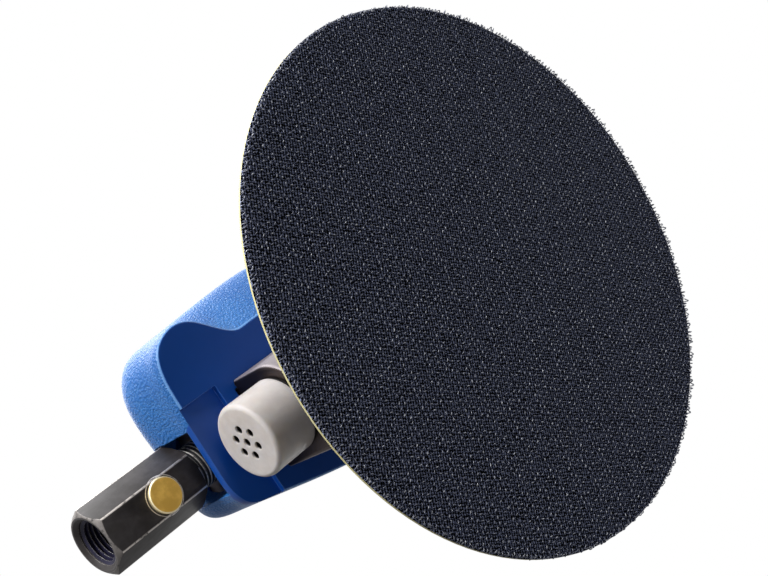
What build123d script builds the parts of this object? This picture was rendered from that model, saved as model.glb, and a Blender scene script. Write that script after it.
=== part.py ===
from build123d import *
import math
import os

os.makedirs("parts", exist_ok=True)

# Frame: +Z up, tool standing on its pad face at Z = 0, motor axis on Z,
# air inlet and exhaust towards -X.

# Orbit and pad
ORBIT_R = 2.5
ORBIT_ANGLE = -58.0
PAD_X = ORBIT_R * math.cos(math.radians(ORBIT_ANGLE))
PAD_Y = ORBIT_R * math.sin(math.radians(ORBIT_ANGLE))
PAD_AXIS = (PAD_X, PAD_Y)
PAD_R = 75.0
HOOK_TOP = 1.2
FILM_TOP = 1.8
FOAM_TOP = 11.0
FOAM_TOP_R = 62.5
PLATE_R = 62.0
PLATE_TOP = 13.5
HUB_R = 15.0
HUB_TOP = 15.5
STUD_R = 4.0
STUD_FLANGE_R = 7.0
STUD_FLANGE_TOP = 12.5
STUD_TOP = 30.0
WASHER_TOP = 16.5

# Pad spindle and its bearing
FLANGE_R = 13.0
FLANGE_TOP = 21.5
FLANGE_FLATS = 22.0
SHOULDER_R = 8.0
SHANK_R = 6.0
SPINDLE_TOP = 33.5
SB_Z = 24.0
SB_W = 8.0
SB_OUT = 14.0

# Balancer and shaft
HUB_ECC_R = 17.5
BAL_BOTTOM = 21.8
BAL_TOP = 38.0
WEIGHT_R = 24.5
WEIGHT_BOTTOM = 26.0
SHAFT_R = 5.0
SHAFT_SHOULDER_R = 8.0
SHAFT_TOP = 82.4
STACK_BOTTOM = 43.5

# Motor stack
BORE_R = 18.5
STACK_R = 18.45
RING_BOTTOM = 40.0
LINER_BOTTOM = 53.0
LINER_TOP = 73.0
STACK_TOP = 82.5
BORE_TOP = 83.5
LINER_BORE_R = 15.0
LINER_SHIFT = 1.7
ROTOR_R = 13.2
VANES = 5
VANE_T = 2.0
BEARING_R = 13.0
BEARING_W = 8.0
SEAT_FIT = 0.02

# Casting
SKIRT_R = 28.2
SKIRT_BORE_R = 25.6
SKIRT_BOTTOM = 24.0
SKIRT_TOP = 42.0
BARREL_R = 21.5
CASTING_TOP = 88.0
BOSS_END = -46.7
BOSS_HALF = 13.85
BOSS_BOTTOM = 32.4
BOSS_TOP = 57.4
BOSS_CORNER = 10.0
BOSS_ROUND = 13.3
BOSS_EDGE = 1.1
BLOCK_END = -54.0
BLOCK_HALF = 11.5
BLOCK_BOTTOM = 62.6
BLOCK_TOP = 84.5

# Muffler
MUF_Z = 45.7
MUF_R = 10.6
MUF_END = -61.4
MUF_RIM = 1.3
MUF_NECK_R = 8.15
MUF_HOLE_R = 1.15
MUF_HOLE_PCD = 3.83
GASKET_T = 0.8

# Air inlet
HEX_Z = 73.6
HEX_AF = 17.0
HEX_REAR = -65.2
HEX_MOUTH = -97.1
HEX_EDGE = 0.3
NECK_R = 6.45
NECK_END = -46.0
THREAD_R = 5.75
THREAD_LEN = 13.0
DUCT_R = 3.4
SCREEN_R = 4.8
SCREEN_T = 1.2

# Flow regulator
REG_X = -77.9
REG_HEAD_R = 4.78
REG_R = 3.9
REG_BORE_R = 3.95

# Throttle valve and lever
VALVE_X = -27.0
CHAMBER_R = 6.0
CHAMBER_BOTTOM = 65.0
SEAT_BOTTOM = 76.5
STEM_R = 2.0
STEM_TOP = 94.6
PIVOT_X = -42.0
PIVOT_Z = 92.5
PIN_R = 1.5
LEVER_HALF = 8.5
LEVER_CORNER = 5.0
LEVER_EDGE = 0.5
CHANNEL_HALF = 9.0
CHANNEL_FLOOR = 88.9

# Grip shell
SHELL_BOTTOM = 57.7
RECESS_HALF = 15.7
RECESS_FRONT = -51.8
RECESS_REAR = -64.5
RECESS_TOP = 59.3
RECESS_REAR_TOP = 58.5
WINDOW_HALF = 9.8
WINDOW_BOTTOM = 60.4
SCREWS = ((-2.0, 15.5), (-2.0, -15.5))
SCREW_SEAT = 92.0
SHELL_EDGE = 0.6


# Deep-groove ball bearing rings and balls
def outer_ring(r_out, z, width, axis):
    r_track, r_in, r_ball = track(r_out)
    with BuildPart() as ring:
        with BuildSketch(Plane.XY.offset(z)):
            Circle(r_out)
            Circle(r_in, mode=Mode.SUBTRACT)
        extrude(amount=width)
        with Locations((0, 0, z + width / 2)):
            Torus(r_track, r_ball + 0.06, mode=Mode.SUBTRACT)
    return Pos(axis[0], axis[1], 0) * ring.part


def inner_ring(r_out, r_bore, z, width, axis):
    r_track, r_in, r_ball = track(r_out)
    with BuildPart() as ring:
        with BuildSketch(Plane.XY.offset(z)):
            Circle(2 * r_track - r_in)
            Circle(r_bore, mode=Mode.SUBTRACT)
        extrude(amount=width)
        with Locations((0, 0, z + width / 2)):
            Torus(r_track, r_ball + 0.06, mode=Mode.SUBTRACT)
    return Pos(axis[0], axis[1], 0) * ring.part


def balls(r_out, count, z, width, axis):
    r_track, r_in, r_ball = track(r_out)
    with BuildPart() as row:
        with Locations((0, 0, z + width / 2)):
            with PolarLocations(r_track, count):
                Sphere(r_ball)
    return Pos(axis[0], axis[1], 0) * row.part


def track(r_out):
    return r_out - 3.9, r_out - 2.5, 1.95


def save(part, label):
    part.label = label
    export_step(part, "parts/" + label + ".step")


# Hook face, bond film and foam of the pad
with BuildPart() as hook_face:
    with BuildSketch():
        with Locations(PAD_AXIS):
            Circle(PAD_R)
    extrude(amount=HOOK_TOP)
save(hook_face.part, "hook_face")

with BuildPart() as pad_film:
    with BuildSketch(Plane.XY.offset(HOOK_TOP)):
        with Locations(PAD_AXIS):
            Circle(PAD_R)
    extrude(amount=FILM_TOP - HOOK_TOP)
save(pad_film.part, "pad_film")

with BuildPart() as pad_foam:
    with Locations((PAD_X, PAD_Y, (FILM_TOP + FOAM_TOP) / 2)):
        Cone(PAD_R - 0.2, FOAM_TOP_R, FOAM_TOP - FILM_TOP)
save(pad_foam.part, "pad_foam")

# Backing plate with hub, and the threaded stud through it
with BuildPart() as pad_backing_plate:
    with BuildSketch(Plane.XY.offset(FOAM_TOP)):
        with Locations(PAD_AXIS):
            Circle(PLATE_R)
    extrude(amount=PLATE_TOP - FOAM_TOP)
    with BuildSketch(Plane.XY.offset(PLATE_TOP)):
        with Locations(PAD_AXIS):
            Circle(HUB_R)
    extrude(amount=HUB_TOP - PLATE_TOP)
    with BuildSketch(Plane.XY.offset(FOAM_TOP)):
        with Locations(PAD_AXIS):
            Circle(STUD_R + 0.05)
    extrude(amount=HUB_TOP - FOAM_TOP, mode=Mode.SUBTRACT)
    with BuildSketch(Plane.XY.offset(FOAM_TOP)):
        with Locations(PAD_AXIS):
            Circle(STUD_FLANGE_R + 0.05)
    extrude(amount=STUD_FLANGE_TOP - FOAM_TOP, mode=Mode.SUBTRACT)
save(pad_backing_plate.part, "pad_backing_plate")

with BuildPart() as pad_stud:
    with BuildSketch(Plane.XY.offset(FOAM_TOP)):
        with Locations(PAD_AXIS):
            Circle(STUD_FLANGE_R)
    extrude(amount=STUD_FLANGE_TOP - FOAM_TOP)
    with BuildSketch(Plane.XY.offset(STUD_FLANGE_TOP)):
        with Locations(PAD_AXIS):
            Circle(STUD_R)
    extrude(amount=STUD_TOP - STUD_FLANGE_TOP)
save(pad_stud.part, "pad_stud")

with BuildPart() as dust_washer:
    with BuildSketch(Plane.XY.offset(HUB_TOP)):
        with Locations(PAD_AXIS):
            Circle(HUB_R - 1.0)
            Circle(STUD_R + 0.35, mode=Mode.SUBTRACT)
    extrude(amount=WASHER_TOP - HUB_TOP)
save(dust_washer.part, "dust_washer")

# Pad spindle with wrench flats, blind threaded hole and clip groove
with BuildPart() as pad_spindle:
    with BuildSketch(Plane.XY.offset(WASHER_TOP)):
        with Locations(PAD_AXIS):
            Circle(FLANGE_R)
            Rectangle(FLANGE_FLATS, 4 * FLANGE_R, mode=Mode.INTERSECT)
    extrude(amount=FLANGE_TOP - WASHER_TOP)
    with BuildSketch(Plane.XY.offset(FLANGE_TOP)):
        with Locations(PAD_AXIS):
            Circle(SHOULDER_R)
    extrude(amount=SB_Z - FLANGE_TOP)
    with BuildSketch(Plane.XY.offset(SB_Z)):
        with Locations(PAD_AXIS):
            Circle(SHANK_R)
    extrude(amount=SPINDLE_TOP - SB_Z)
    with BuildSketch(Plane.XY.offset(WASHER_TOP)):
        with Locations(PAD_AXIS):
            Circle(STUD_R)
    extrude(amount=STUD_TOP + 0.5 - WASHER_TOP, mode=Mode.SUBTRACT)
    with BuildSketch(Plane.XY.offset(SB_Z + SB_W + 0.2)):
        with Locations(PAD_AXIS):
            Circle(SHANK_R + 1)
            Circle(SHANK_R - 0.6, mode=Mode.SUBTRACT)
    extrude(amount=0.8, mode=Mode.SUBTRACT)
save(pad_spindle.part, "pad_spindle")

with BuildPart() as spindle_clip:
    with BuildSketch(Plane.XY.offset(SB_Z + SB_W + 0.2)):
        with Locations(PAD_AXIS):
            Circle(SHANK_R + 1.6)
            Circle(SHANK_R - 0.6, mode=Mode.SUBTRACT)
        with Locations((PAD_X + SHANK_R, PAD_Y)):
            Rectangle(5, 3, mode=Mode.SUBTRACT)
    extrude(amount=0.8)
save(spindle_clip.part, "spindle_clip")

# Spindle bearing
save(outer_ring(SB_OUT, SB_Z, SB_W, PAD_AXIS), "spindle_bearing_outer")
save(inner_ring(SB_OUT, SHANK_R, SB_Z, SB_W, PAD_AXIS), "spindle_bearing_inner")
save(balls(SB_OUT, 9, SB_Z, SB_W, PAD_AXIS), "spindle_bearing_balls")

# Balancer with eccentric bearing pocket, counterweight and motor shaft
with BuildPart() as balancer_shaft:
    with BuildSketch(Plane.XY.offset(BAL_BOTTOM)):
        with Locations(PAD_AXIS):
            Circle(HUB_ECC_R)
    extrude(amount=BAL_TOP - BAL_BOTTOM)
    with BuildSketch(Plane.XY.offset(WEIGHT_BOTTOM)):
        Circle(WEIGHT_R)
        with Locations(Location((0, 0), ORBIT_ANGLE)):
            Rectangle(WEIGHT_R, 3 * WEIGHT_R, align=(Align.MIN, Align.CENTER), mode=Mode.SUBTRACT)
    extrude(amount=BAL_TOP - WEIGHT_BOTTOM)
    with BuildSketch(Plane.XY.offset(BAL_TOP)):
        Circle(SHAFT_SHOULDER_R)
    extrude(amount=STACK_BOTTOM - BAL_TOP)
    with BuildSketch(Plane.XY.offset(STACK_BOTTOM)):
        Circle(SHAFT_R)
    extrude(amount=SHAFT_TOP - STACK_BOTTOM)
    with BuildSketch(Plane.XY.offset(BAL_BOTTOM)):
        with Locations(PAD_AXIS):
            Circle(SB_OUT)
    extrude(amount=SB_Z + SB_W - BAL_BOTTOM, mode=Mode.SUBTRACT)
    with BuildSketch(Plane.XY.offset(SB_Z + SB_W)):
        with Locations(PAD_AXIS):
            Circle(SB_OUT - 2.2)
    extrude(amount=2.6, mode=Mode.SUBTRACT)
    with BuildSketch(Plane.XY.offset(SB_Z - 1.2)):
        with Locations(PAD_AXIS):
            Circle(SB_OUT + 0.8)
    extrude(amount=1.0, mode=Mode.SUBTRACT)
    with BuildSketch(Plane.XY.offset(LINER_BOTTOM + 4)):
        with Locations((SHAFT_R, 0)):
            Rectangle(2.4, 2.0)
    extrude(amount=12, mode=Mode.SUBTRACT)
save(balancer_shaft.part, "balancer_shaft")

with BuildPart() as bearing_clip:
    with BuildSketch(Plane.XY.offset(SB_Z - 1.15)):
        with Locations(PAD_AXIS):
            Circle(SB_OUT + 0.75)
            Circle(SB_OUT - 1.4, mode=Mode.SUBTRACT)
        with Locations((PAD_X, PAD_Y + SB_OUT)):
            Rectangle(4, 6, mode=Mode.SUBTRACT)
    extrude(amount=0.9)
save(bearing_clip.part, "bearing_clip")

# Rotor, vanes and key
with BuildPart() as rotor:
    with BuildSketch(Plane.XY.offset(LINER_BOTTOM + 0.1)):
        Circle(ROTOR_R)
        Circle(SHAFT_R + SEAT_FIT, mode=Mode.SUBTRACT)
        with Locations((SHAFT_R, 0)):
            Rectangle(2.4, 2.0, mode=Mode.SUBTRACT)
        with PolarLocations(ROTOR_R, VANES, start_angle=36):
            Rectangle(13.0, VANE_T + 0.1, mode=Mode.SUBTRACT)
    extrude(amount=LINER_TOP - LINER_BOTTOM - 0.2)
save(rotor.part, "rotor")

with BuildPart() as rotor_vanes:
    with BuildSketch(Plane.XY.offset(LINER_BOTTOM + 0.2)):
        with PolarLocations(9.95, VANES, start_angle=36):
            Rectangle(6.2, VANE_T)
    extrude(amount=LINER_TOP - LINER_BOTTOM - 0.4)
save(rotor_vanes.part, "rotor_vanes")

with BuildPart() as rotor_key:
    with BuildSketch(Plane.XY.offset(LINER_BOTTOM + 4)):
        with Locations((SHAFT_R, 0)):
            Rectangle(2.4, 2.0)
    extrude(amount=12)
save(rotor_key.part, "rotor_key")

# Motor bearings
LOWER_Z = STACK_BOTTOM
UPPER_Z = STACK_TOP - BEARING_W
CENTRE = (0.0, 0.0)
save(outer_ring(BEARING_R, LOWER_Z, BEARING_W, CENTRE), "lower_bearing_outer")
save(inner_ring(BEARING_R, SHAFT_R + SEAT_FIT, LOWER_Z, BEARING_W, CENTRE), "lower_bearing_inner")
save(balls(BEARING_R, 8, LOWER_Z, BEARING_W, CENTRE), "lower_bearing_balls")
save(outer_ring(BEARING_R, UPPER_Z, BEARING_W, CENTRE), "upper_bearing_outer")
save(inner_ring(BEARING_R, SHAFT_R + SEAT_FIT, UPPER_Z, BEARING_W, CENTRE), "upper_bearing_inner")
save(balls(BEARING_R, 8, UPPER_Z, BEARING_W, CENTRE), "upper_bearing_balls")

# End plates, liner and dowel
PIN_XY = (0.0, -17.0)
DOWEL_R = 0.8
with BuildPart() as lower_end_plate:
    with BuildSketch(Plane.XY.offset(STACK_BOTTOM)):
        Circle(STACK_R)
    extrude(amount=LINER_BOTTOM - STACK_BOTTOM)
    with BuildSketch(Plane.XY.offset(STACK_BOTTOM)):
        Circle(BEARING_R + SEAT_FIT)
    extrude(amount=BEARING_W, mode=Mode.SUBTRACT)
    with BuildSketch(Plane.XY.offset(STACK_BOTTOM)):
        Circle(SHAFT_R + 0.6)
    extrude(amount=LINER_BOTTOM - STACK_BOTTOM, mode=Mode.SUBTRACT)
    with BuildSketch(Plane.XY.offset(LINER_BOTTOM - 4)):
        with Locations(PIN_XY):
            Circle(DOWEL_R)
    extrude(amount=4, mode=Mode.SUBTRACT)
save(lower_end_plate.part, "lower_end_plate")

with BuildPart() as cylinder_liner:
    with BuildSketch(Plane.XY.offset(LINER_BOTTOM)):
        Circle(STACK_R)
        with Locations((0, LINER_SHIFT)):
            Circle(LINER_BORE_R, mode=Mode.SUBTRACT)
        with Locations(PIN_XY):
            Circle(DOWEL_R, mode=Mode.SUBTRACT)
    extrude(amount=LINER_TOP - LINER_BOTTOM)
    with BuildSketch(Plane.YZ):
        with GridLocations(3.4, 0, 4, 1):
            with Locations((0, LINER_BOTTOM + 5.0)):
                SlotOverall(6.0, 2.0, rotation=90)
    extrude(amount=-25, mode=Mode.SUBTRACT)
save(cylinder_liner.part, "cylinder_liner")

with BuildPart() as upper_end_plate:
    with BuildSketch(Plane.XY.offset(LINER_TOP)):
        Circle(STACK_R)
    extrude(amount=STACK_TOP - LINER_TOP)
    with BuildSketch(Plane.XY.offset(UPPER_Z)):
        Circle(BEARING_R + SEAT_FIT)
    extrude(amount=BEARING_W, mode=Mode.SUBTRACT)
    with BuildSketch(Plane.XY.offset(LINER_TOP)):
        Circle(SHAFT_R + 0.6)
    extrude(amount=STACK_TOP - LINER_TOP, mode=Mode.SUBTRACT)
    with BuildSketch(Plane.XY.offset(LINER_TOP)):
        with Locations(PIN_XY):
            Circle(DOWEL_R)
    extrude(amount=4, mode=Mode.SUBTRACT)
save(upper_end_plate.part, "upper_end_plate")

with BuildPart() as liner_dowel:
    with BuildSketch(Plane.XY.offset(LINER_BOTTOM - 3.8)):
        with Locations(PIN_XY):
            Circle(DOWEL_R - 0.02)
    extrude(amount=LINER_TOP - LINER_BOTTOM + 7.6)
save(liner_dowel.part, "liner_dowel")

with BuildPart() as preload_washer:
    with BuildSketch(Plane.XY.offset(STACK_TOP)):
        Circle(BEARING_R - 0.2)
        Circle(10.6, mode=Mode.SUBTRACT)
    extrude(amount=BORE_TOP - STACK_TOP)
save(preload_washer.part, "preload_washer")

with BuildPart() as lock_ring:
    with BuildSketch(Plane.XY.offset(RING_BOTTOM)):
        Circle(STACK_R)
        Circle(SHAFT_SHOULDER_R + 1.0, mode=Mode.SUBTRACT)
        with PolarLocations(14.0, 4, start_angle=45):
            Circle(1.6, mode=Mode.SUBTRACT)
    extrude(amount=STACK_BOTTOM - RING_BOTTOM)
save(lock_ring.part, "lock_ring")

# Motor casting: skirt, barrel, exhaust boss and inlet block
with BuildPart() as motor_casting:
    with BuildSketch(Plane.XY.offset(SKIRT_BOTTOM)):
        Circle(SKIRT_R)
    extrude(amount=SKIRT_TOP - SKIRT_BOTTOM)
    with BuildSketch(Plane.XY.offset(SKIRT_TOP)):
        Circle(BARREL_R)
    extrude(amount=CASTING_TOP - SKIRT_TOP)
    with BuildSketch(Plane.YZ.offset(BOSS_END)):
        with Locations((0, BOSS_BOTTOM)):
            box_face = Rectangle(2 * BOSS_HALF, BOSS_TOP - BOSS_BOTTOM, align=(Align.CENTER, Align.MIN))
        lower = box_face.vertices().sort_by(Axis.Y)[:2].sort_by(Axis.X)
        fillet(lower[0], BOSS_ROUND)
        fillet(lower[1], BOSS_CORNER)
    extrude(amount=-BOSS_END - 10)
    boss_rim = motor_casting.faces().sort_by(Axis.X)[0].edges()
    fillet(boss_rim.sort_by(Axis.Z)[:-1], BOSS_EDGE)
    with BuildSketch(Plane.YZ.offset(BOSS_END)):
        with Locations((0, BOSS_TOP)):
            Rectangle(2 * BLOCK_HALF, BLOCK_TOP - BOSS_TOP, align=(Align.CENTER, Align.MIN))
    extrude(amount=-BOSS_END - 10)
    with BuildSketch(Plane.YZ.offset(BLOCK_END)):
        with Locations((0, BLOCK_BOTTOM)):
            Rectangle(2 * BLOCK_HALF, BLOCK_TOP - BLOCK_BOTTOM, align=(Align.CENTER, Align.MIN))
    extrude(amount=BOSS_END - BLOCK_END)
    with BuildSketch(Plane.XY.offset(SKIRT_BOTTOM)):
        Circle(SKIRT_BORE_R)
    extrude(amount=RING_BOTTOM - SKIRT_BOTTOM, mode=Mode.SUBTRACT)
    with BuildSketch(Plane.XY.offset(RING_BOTTOM)):
        Circle(BORE_R)
    extrude(amount=BORE_TOP - RING_BOTTOM, mode=Mode.SUBTRACT)
    with BuildSketch(Plane.YZ.offset(BOSS_END)):
        with Locations((0, MUF_Z)):
            Circle(MUF_NECK_R)
    extrude(amount=24.5, mode=Mode.SUBTRACT)
    with BuildSketch(Plane.XY.offset(MUF_Z)):
        with Locations((-21.5, 0)):
            Rectangle(8.0, 14.0)
    extrude(amount=15.5, mode=Mode.SUBTRACT)
    with BuildSketch(Plane.YZ.offset(BLOCK_END)):
        with Locations((0, HEX_Z)):
            Circle(NECK_R + 0.02)
    extrude(amount=NECK_END + 1.0 - BLOCK_END, mode=Mode.SUBTRACT)
    with BuildSketch(Plane.YZ.offset(NECK_END)):
        with Locations((0, HEX_Z)):
            Circle(4.5)
    extrude(amount=VALVE_X - NECK_END, mode=Mode.SUBTRACT)
    with BuildSketch(Plane.XY.offset(CHAMBER_BOTTOM)):
        with Locations((VALVE_X, 0)):
            Circle(CHAMBER_R)
    extrude(amount=BLOCK_TOP - CHAMBER_BOTTOM, mode=Mode.SUBTRACT)
    with BuildSketch(Plane.YZ.offset(VALVE_X)):
        with Locations((0, SEAT_BOTTOM + 3.7)):
            Circle(1.2)
    extrude(amount=10.0, mode=Mode.SUBTRACT)
    with BuildSketch(Plane.XY.offset(CASTING_TOP)):
        with Locations(*SCREWS):
            Circle(1.95)
    extrude(amount=-3.6, mode=Mode.SUBTRACT)
save(motor_casting.part, "motor_casting")

# Muffler, its gasket and felt
with BuildPart() as muffler_body:
    with BuildSketch(Plane.YZ.offset(MUF_END)):
        with Locations((0, MUF_Z)):
            Circle(MUF_R)
    extrude(amount=BOSS_END - GASKET_T - MUF_END)
    fillet(muffler_body.faces().sort_by(Axis.X)[0].edges(), MUF_RIM)
    with BuildSketch(Plane.YZ.offset(BOSS_END - GASKET_T)):
        with Locations((0, MUF_Z)):
            Circle(MUF_NECK_R - 0.02)
    extrude(amount=9.0)
    with BuildSketch(Plane.YZ.offset(MUF_END + 2.4)):
        with Locations((0, MUF_Z)):
            Circle(6.4)
    extrude(amount=30.0, mode=Mode.SUBTRACT)
    with BuildSketch(Plane.YZ.offset(MUF_END)):
        with Locations((0, MUF_Z)):
            Circle(MUF_HOLE_R)
            with PolarLocations(MUF_HOLE_PCD, 6):
                Circle(MUF_HOLE_R)
    extrude(amount=4.0, mode=Mode.SUBTRACT)
save(muffler_body.part, "muffler_body")

with BuildPart() as muffler_felt:
    with BuildSketch(Plane.YZ.offset(MUF_END + 3.0)):
        with Locations((0, MUF_Z)):
            Circle(6.2)
            Circle(2.4, mode=Mode.SUBTRACT)
    extrude(amount=19.0)
save(muffler_felt.part, "muffler_felt")

with BuildPart() as muffler_gasket:
    with BuildSketch(Plane.YZ.offset(BOSS_END - GASKET_T)):
        with Locations((0, MUF_Z)):
            Circle(MUF_R - 0.2)
            Circle(MUF_NECK_R + 0.1, mode=Mode.SUBTRACT)
    extrude(amount=GASKET_T)
save(muffler_gasket.part, "muffler_gasket")

# Inlet bushing: hexagon with turned chamfers, neck, tapped mouth and regulator bore
HEX_R = HEX_AF / math.sqrt(3)
with BuildPart() as inlet_bushing:
    with BuildSketch(Plane.YZ.offset(HEX_MOUTH)):
        with Locations((0, HEX_Z)):
            RegularPolygon(HEX_R, 6)
    extrude(amount=HEX_REAR - HEX_MOUTH)
    fillet(inlet_bushing.edges().filter_by(Axis.X), HEX_EDGE)
    with BuildSketch(Plane.XZ):
        with BuildLine():
            Polyline(
                (HEX_MOUTH, HEX_Z),
                (HEX_MOUTH, HEX_Z + HEX_AF / 2 - 0.35),
                (HEX_MOUTH + 1.4, HEX_Z + HEX_R + 0.2),
                (HEX_REAR - 1.0, HEX_Z + HEX_R + 0.2),
                (HEX_REAR, HEX_Z + HEX_AF / 2 - 0.2),
                (HEX_REAR, HEX_Z),
                close=True,
            )
        make_face()
    revolve(axis=Axis((0, 0, HEX_Z), (1, 0, 0)), mode=Mode.INTERSECT)
    with BuildSketch(Plane.YZ.offset(HEX_REAR)):
        with Locations((0, HEX_Z)):
            Circle(NECK_R)
    extrude(amount=NECK_END - HEX_REAR)
    with BuildSketch(Plane.YZ.offset(HEX_MOUTH)):
        with Locations((0, HEX_Z)):
            Circle(THREAD_R)
    extrude(amount=THREAD_LEN, mode=Mode.SUBTRACT)
    with BuildSketch(Plane.YZ.offset(HEX_MOUTH)):
        with Locations((0, HEX_Z)):
            Circle(SCREEN_R)
    extrude(amount=THREAD_LEN + SCREEN_T + 0.1, mode=Mode.SUBTRACT)
    with BuildSketch(Plane.YZ.offset(HEX_MOUTH)):
        with Locations((0, HEX_Z)):
            Circle(DUCT_R)
    extrude(amount=NECK_END - HEX_MOUTH, mode=Mode.SUBTRACT)
    with BuildSketch(Plane.XY.offset(HEX_Z - HEX_AF)):
        with Locations((REG_X, 0)):
            Circle(REG_BORE_R)
    extrude(amount=2 * HEX_AF, mode=Mode.SUBTRACT)
    mouth = inlet_bushing.faces().sort_by(Axis.X)[0].edges().filter_by(GeomType.CIRCLE)
    chamfer(mouth.sort_by(SortBy.RADIUS)[0], 0.85)
save(inlet_bushing.part, "inlet_bushing")

with BuildPart() as inlet_screen:
    with BuildSketch(Plane.YZ.offset(HEX_MOUTH + THREAD_LEN + 0.05)):
        with Locations((0, HEX_Z)):
            Circle(SCREEN_R - 0.03)
            with GridLocations(1.3, 1.3, 5, 5):
                Circle(0.42, mode=Mode.SUBTRACT)
    extrude(amount=SCREEN_T)
save(inlet_screen.part, "inlet_screen")

# Flow regulator: headed spindle with cross bore, two seals and a clip
REG_FLAT = HEX_Z - HEX_AF / 2
REG_CLIP_Z = HEX_Z + HEX_AF / 2 + 0.1
SEAL_Z = (HEX_Z - 5.6, HEX_Z + 5.6)
with BuildPart() as regulator_spindle:
    with BuildSketch(Plane.XY.offset(REG_FLAT - 1.0)):
        with Locations((REG_X, 0)):
            Circle(REG_HEAD_R)
    extrude(amount=0.95)
    fillet(regulator_spindle.faces().sort_by(Axis.Z)[0].edges(), 0.35)
    with BuildSketch(Plane.XY.offset(REG_FLAT - 0.05)):
        with Locations((REG_X, 0)):
            Circle(REG_R)
    extrude(amount=HEX_AF + 2.1)
    with BuildSketch(Plane.YZ.offset(REG_X - 10)):
        with Locations((0, HEX_Z)):
            Circle(2.9)
    extrude(amount=20, mode=Mode.SUBTRACT)
    for seal_z in SEAL_Z:
        with BuildSketch(Plane.XY.offset(seal_z - 0.7)):
            with Locations((REG_X, 0)):
                Circle(REG_R + 1)
                Circle(REG_R - 1.0, mode=Mode.SUBTRACT)
        extrude(amount=1.4, mode=Mode.SUBTRACT)
    with BuildSketch(Plane.XY.offset(REG_CLIP_Z)):
        with Locations((REG_X, 0)):
            Circle(REG_R + 1)
            Circle(REG_R - 0.7, mode=Mode.SUBTRACT)
    extrude(amount=0.7, mode=Mode.SUBTRACT)
    with BuildSketch(Plane.XY.offset(REG_FLAT + HEX_AF + 2.05)):
        with Locations((REG_X, 0)):
            Rectangle(1.1, 12)
    extrude(amount=-0.9, mode=Mode.SUBTRACT)
save(regulator_spindle.part, "regulator_spindle")

with BuildPart() as regulator_seals:
    for seal_z in SEAL_Z:
        with Locations((REG_X, 0, seal_z)):
            Torus(REG_R - 0.48, 0.5)
save(regulator_seals.part, "regulator_seals")

with BuildPart() as regulator_clip:
    with BuildSketch(Plane.XY.offset(REG_CLIP_Z + 0.05)):
        with Locations((REG_X, 0)):
            Circle(REG_R + 1.2)
            Circle(REG_R - 0.7, mode=Mode.SUBTRACT)
        with Locations((REG_X, REG_R)):
            Rectangle(5.0, 6.0, mode=Mode.SUBTRACT)
    extrude(amount=0.6)
save(regulator_clip.part, "regulator_clip")

# Throttle valve: seat, poppet stem, its seal, spring, guide and guide seal
SEAT_TOP = SEAT_BOTTOM + 2.4
POPPET_R = 4.6
SEAL_T = 0.9
with BuildPart() as valve_seat:
    with BuildSketch(Plane.XY.offset(SEAT_BOTTOM)):
        with Locations((VALVE_X, 0)):
            Circle(CHAMBER_R - 0.02)
            Circle(3.4, mode=Mode.SUBTRACT)
    extrude(amount=SEAT_TOP - SEAT_BOTTOM)
save(valve_seat.part, "valve_seat")

with BuildPart() as valve_stem:
    with BuildSketch(Plane.XY.offset(SEAT_BOTTOM - SEAL_T - 0.05)):
        with Locations((VALVE_X, 0)):
            Circle(POPPET_R)
    extrude(amount=-2.0)
    with BuildSketch(Plane.XY.offset(SEAT_BOTTOM - SEAL_T - 0.05)):
        with Locations((VALVE_X, 0)):
            Circle(STEM_R)
    extrude(amount=STEM_TOP - SEAT_BOTTOM + SEAL_T + 0.05)
    fillet(valve_stem.faces().sort_by(Axis.Z)[-1].edges(), 1.2)
    with BuildSketch(Plane.XY.offset(SEAT_BOTTOM - SEAL_T - 2.05)):
        with Locations((VALVE_X, 0)):
            Circle(2.1)
    extrude(amount=-1.8)
save(valve_stem.part, "valve_stem")

with BuildPart() as valve_seal:
    with BuildSketch(Plane.XY.offset(SEAT_BOTTOM - SEAL_T - 0.05)):
        with Locations((VALVE_X, 0)):
            Circle(POPPET_R)
            Circle(STEM_R, mode=Mode.SUBTRACT)
    extrude(amount=SEAL_T)
save(valve_seal.part, "valve_seal")

SPRING_BOTTOM = CHAMBER_BOTTOM
SPRING_TOP = SEAT_BOTTOM - SEAL_T - 2.05
SPRING_WIRE = 0.4
SPRING_R = 3.2
with BuildPart() as valve_spring:
    with BuildLine() as coil:
        Helix(
            pitch=(SPRING_TOP - SPRING_BOTTOM - 2 * SPRING_WIRE - 0.1) / 4.5,
            height=SPRING_TOP - SPRING_BOTTOM - 2 * SPRING_WIRE - 0.1,
            radius=SPRING_R,
            center=(VALVE_X, 0, SPRING_BOTTOM + SPRING_WIRE + 0.05),
        )
    with BuildSketch(Plane(origin=coil.line @ 0, z_dir=coil.line % 0)):
        Circle(SPRING_WIRE)
    sweep(is_frenet=True)
save(valve_spring.part, "valve_spring")

GUIDE_BOTTOM = SEAT_TOP + 2.6
with BuildPart() as valve_guide:
    with BuildSketch(Plane.XY.offset(GUIDE_BOTTOM)):
        with Locations((VALVE_X, 0)):
            Circle(CHAMBER_R - 0.02)
            Circle(STEM_R + 0.04, mode=Mode.SUBTRACT)
    extrude(amount=BLOCK_TOP - GUIDE_BOTTOM)
    with BuildSketch(Plane.XY.offset(GUIDE_BOTTOM)):
        with Locations((VALVE_X, 0)):
            Circle(STEM_R + 1.15)
    extrude(amount=1.3, mode=Mode.SUBTRACT)
save(valve_guide.part, "valve_guide")

with BuildPart() as guide_seal:
    with Locations((VALVE_X, 0, GUIDE_BOTTOM + 0.62)):
        Torus(STEM_R + 0.58, 0.52)
save(guide_seal.part, "guide_seal")

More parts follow.
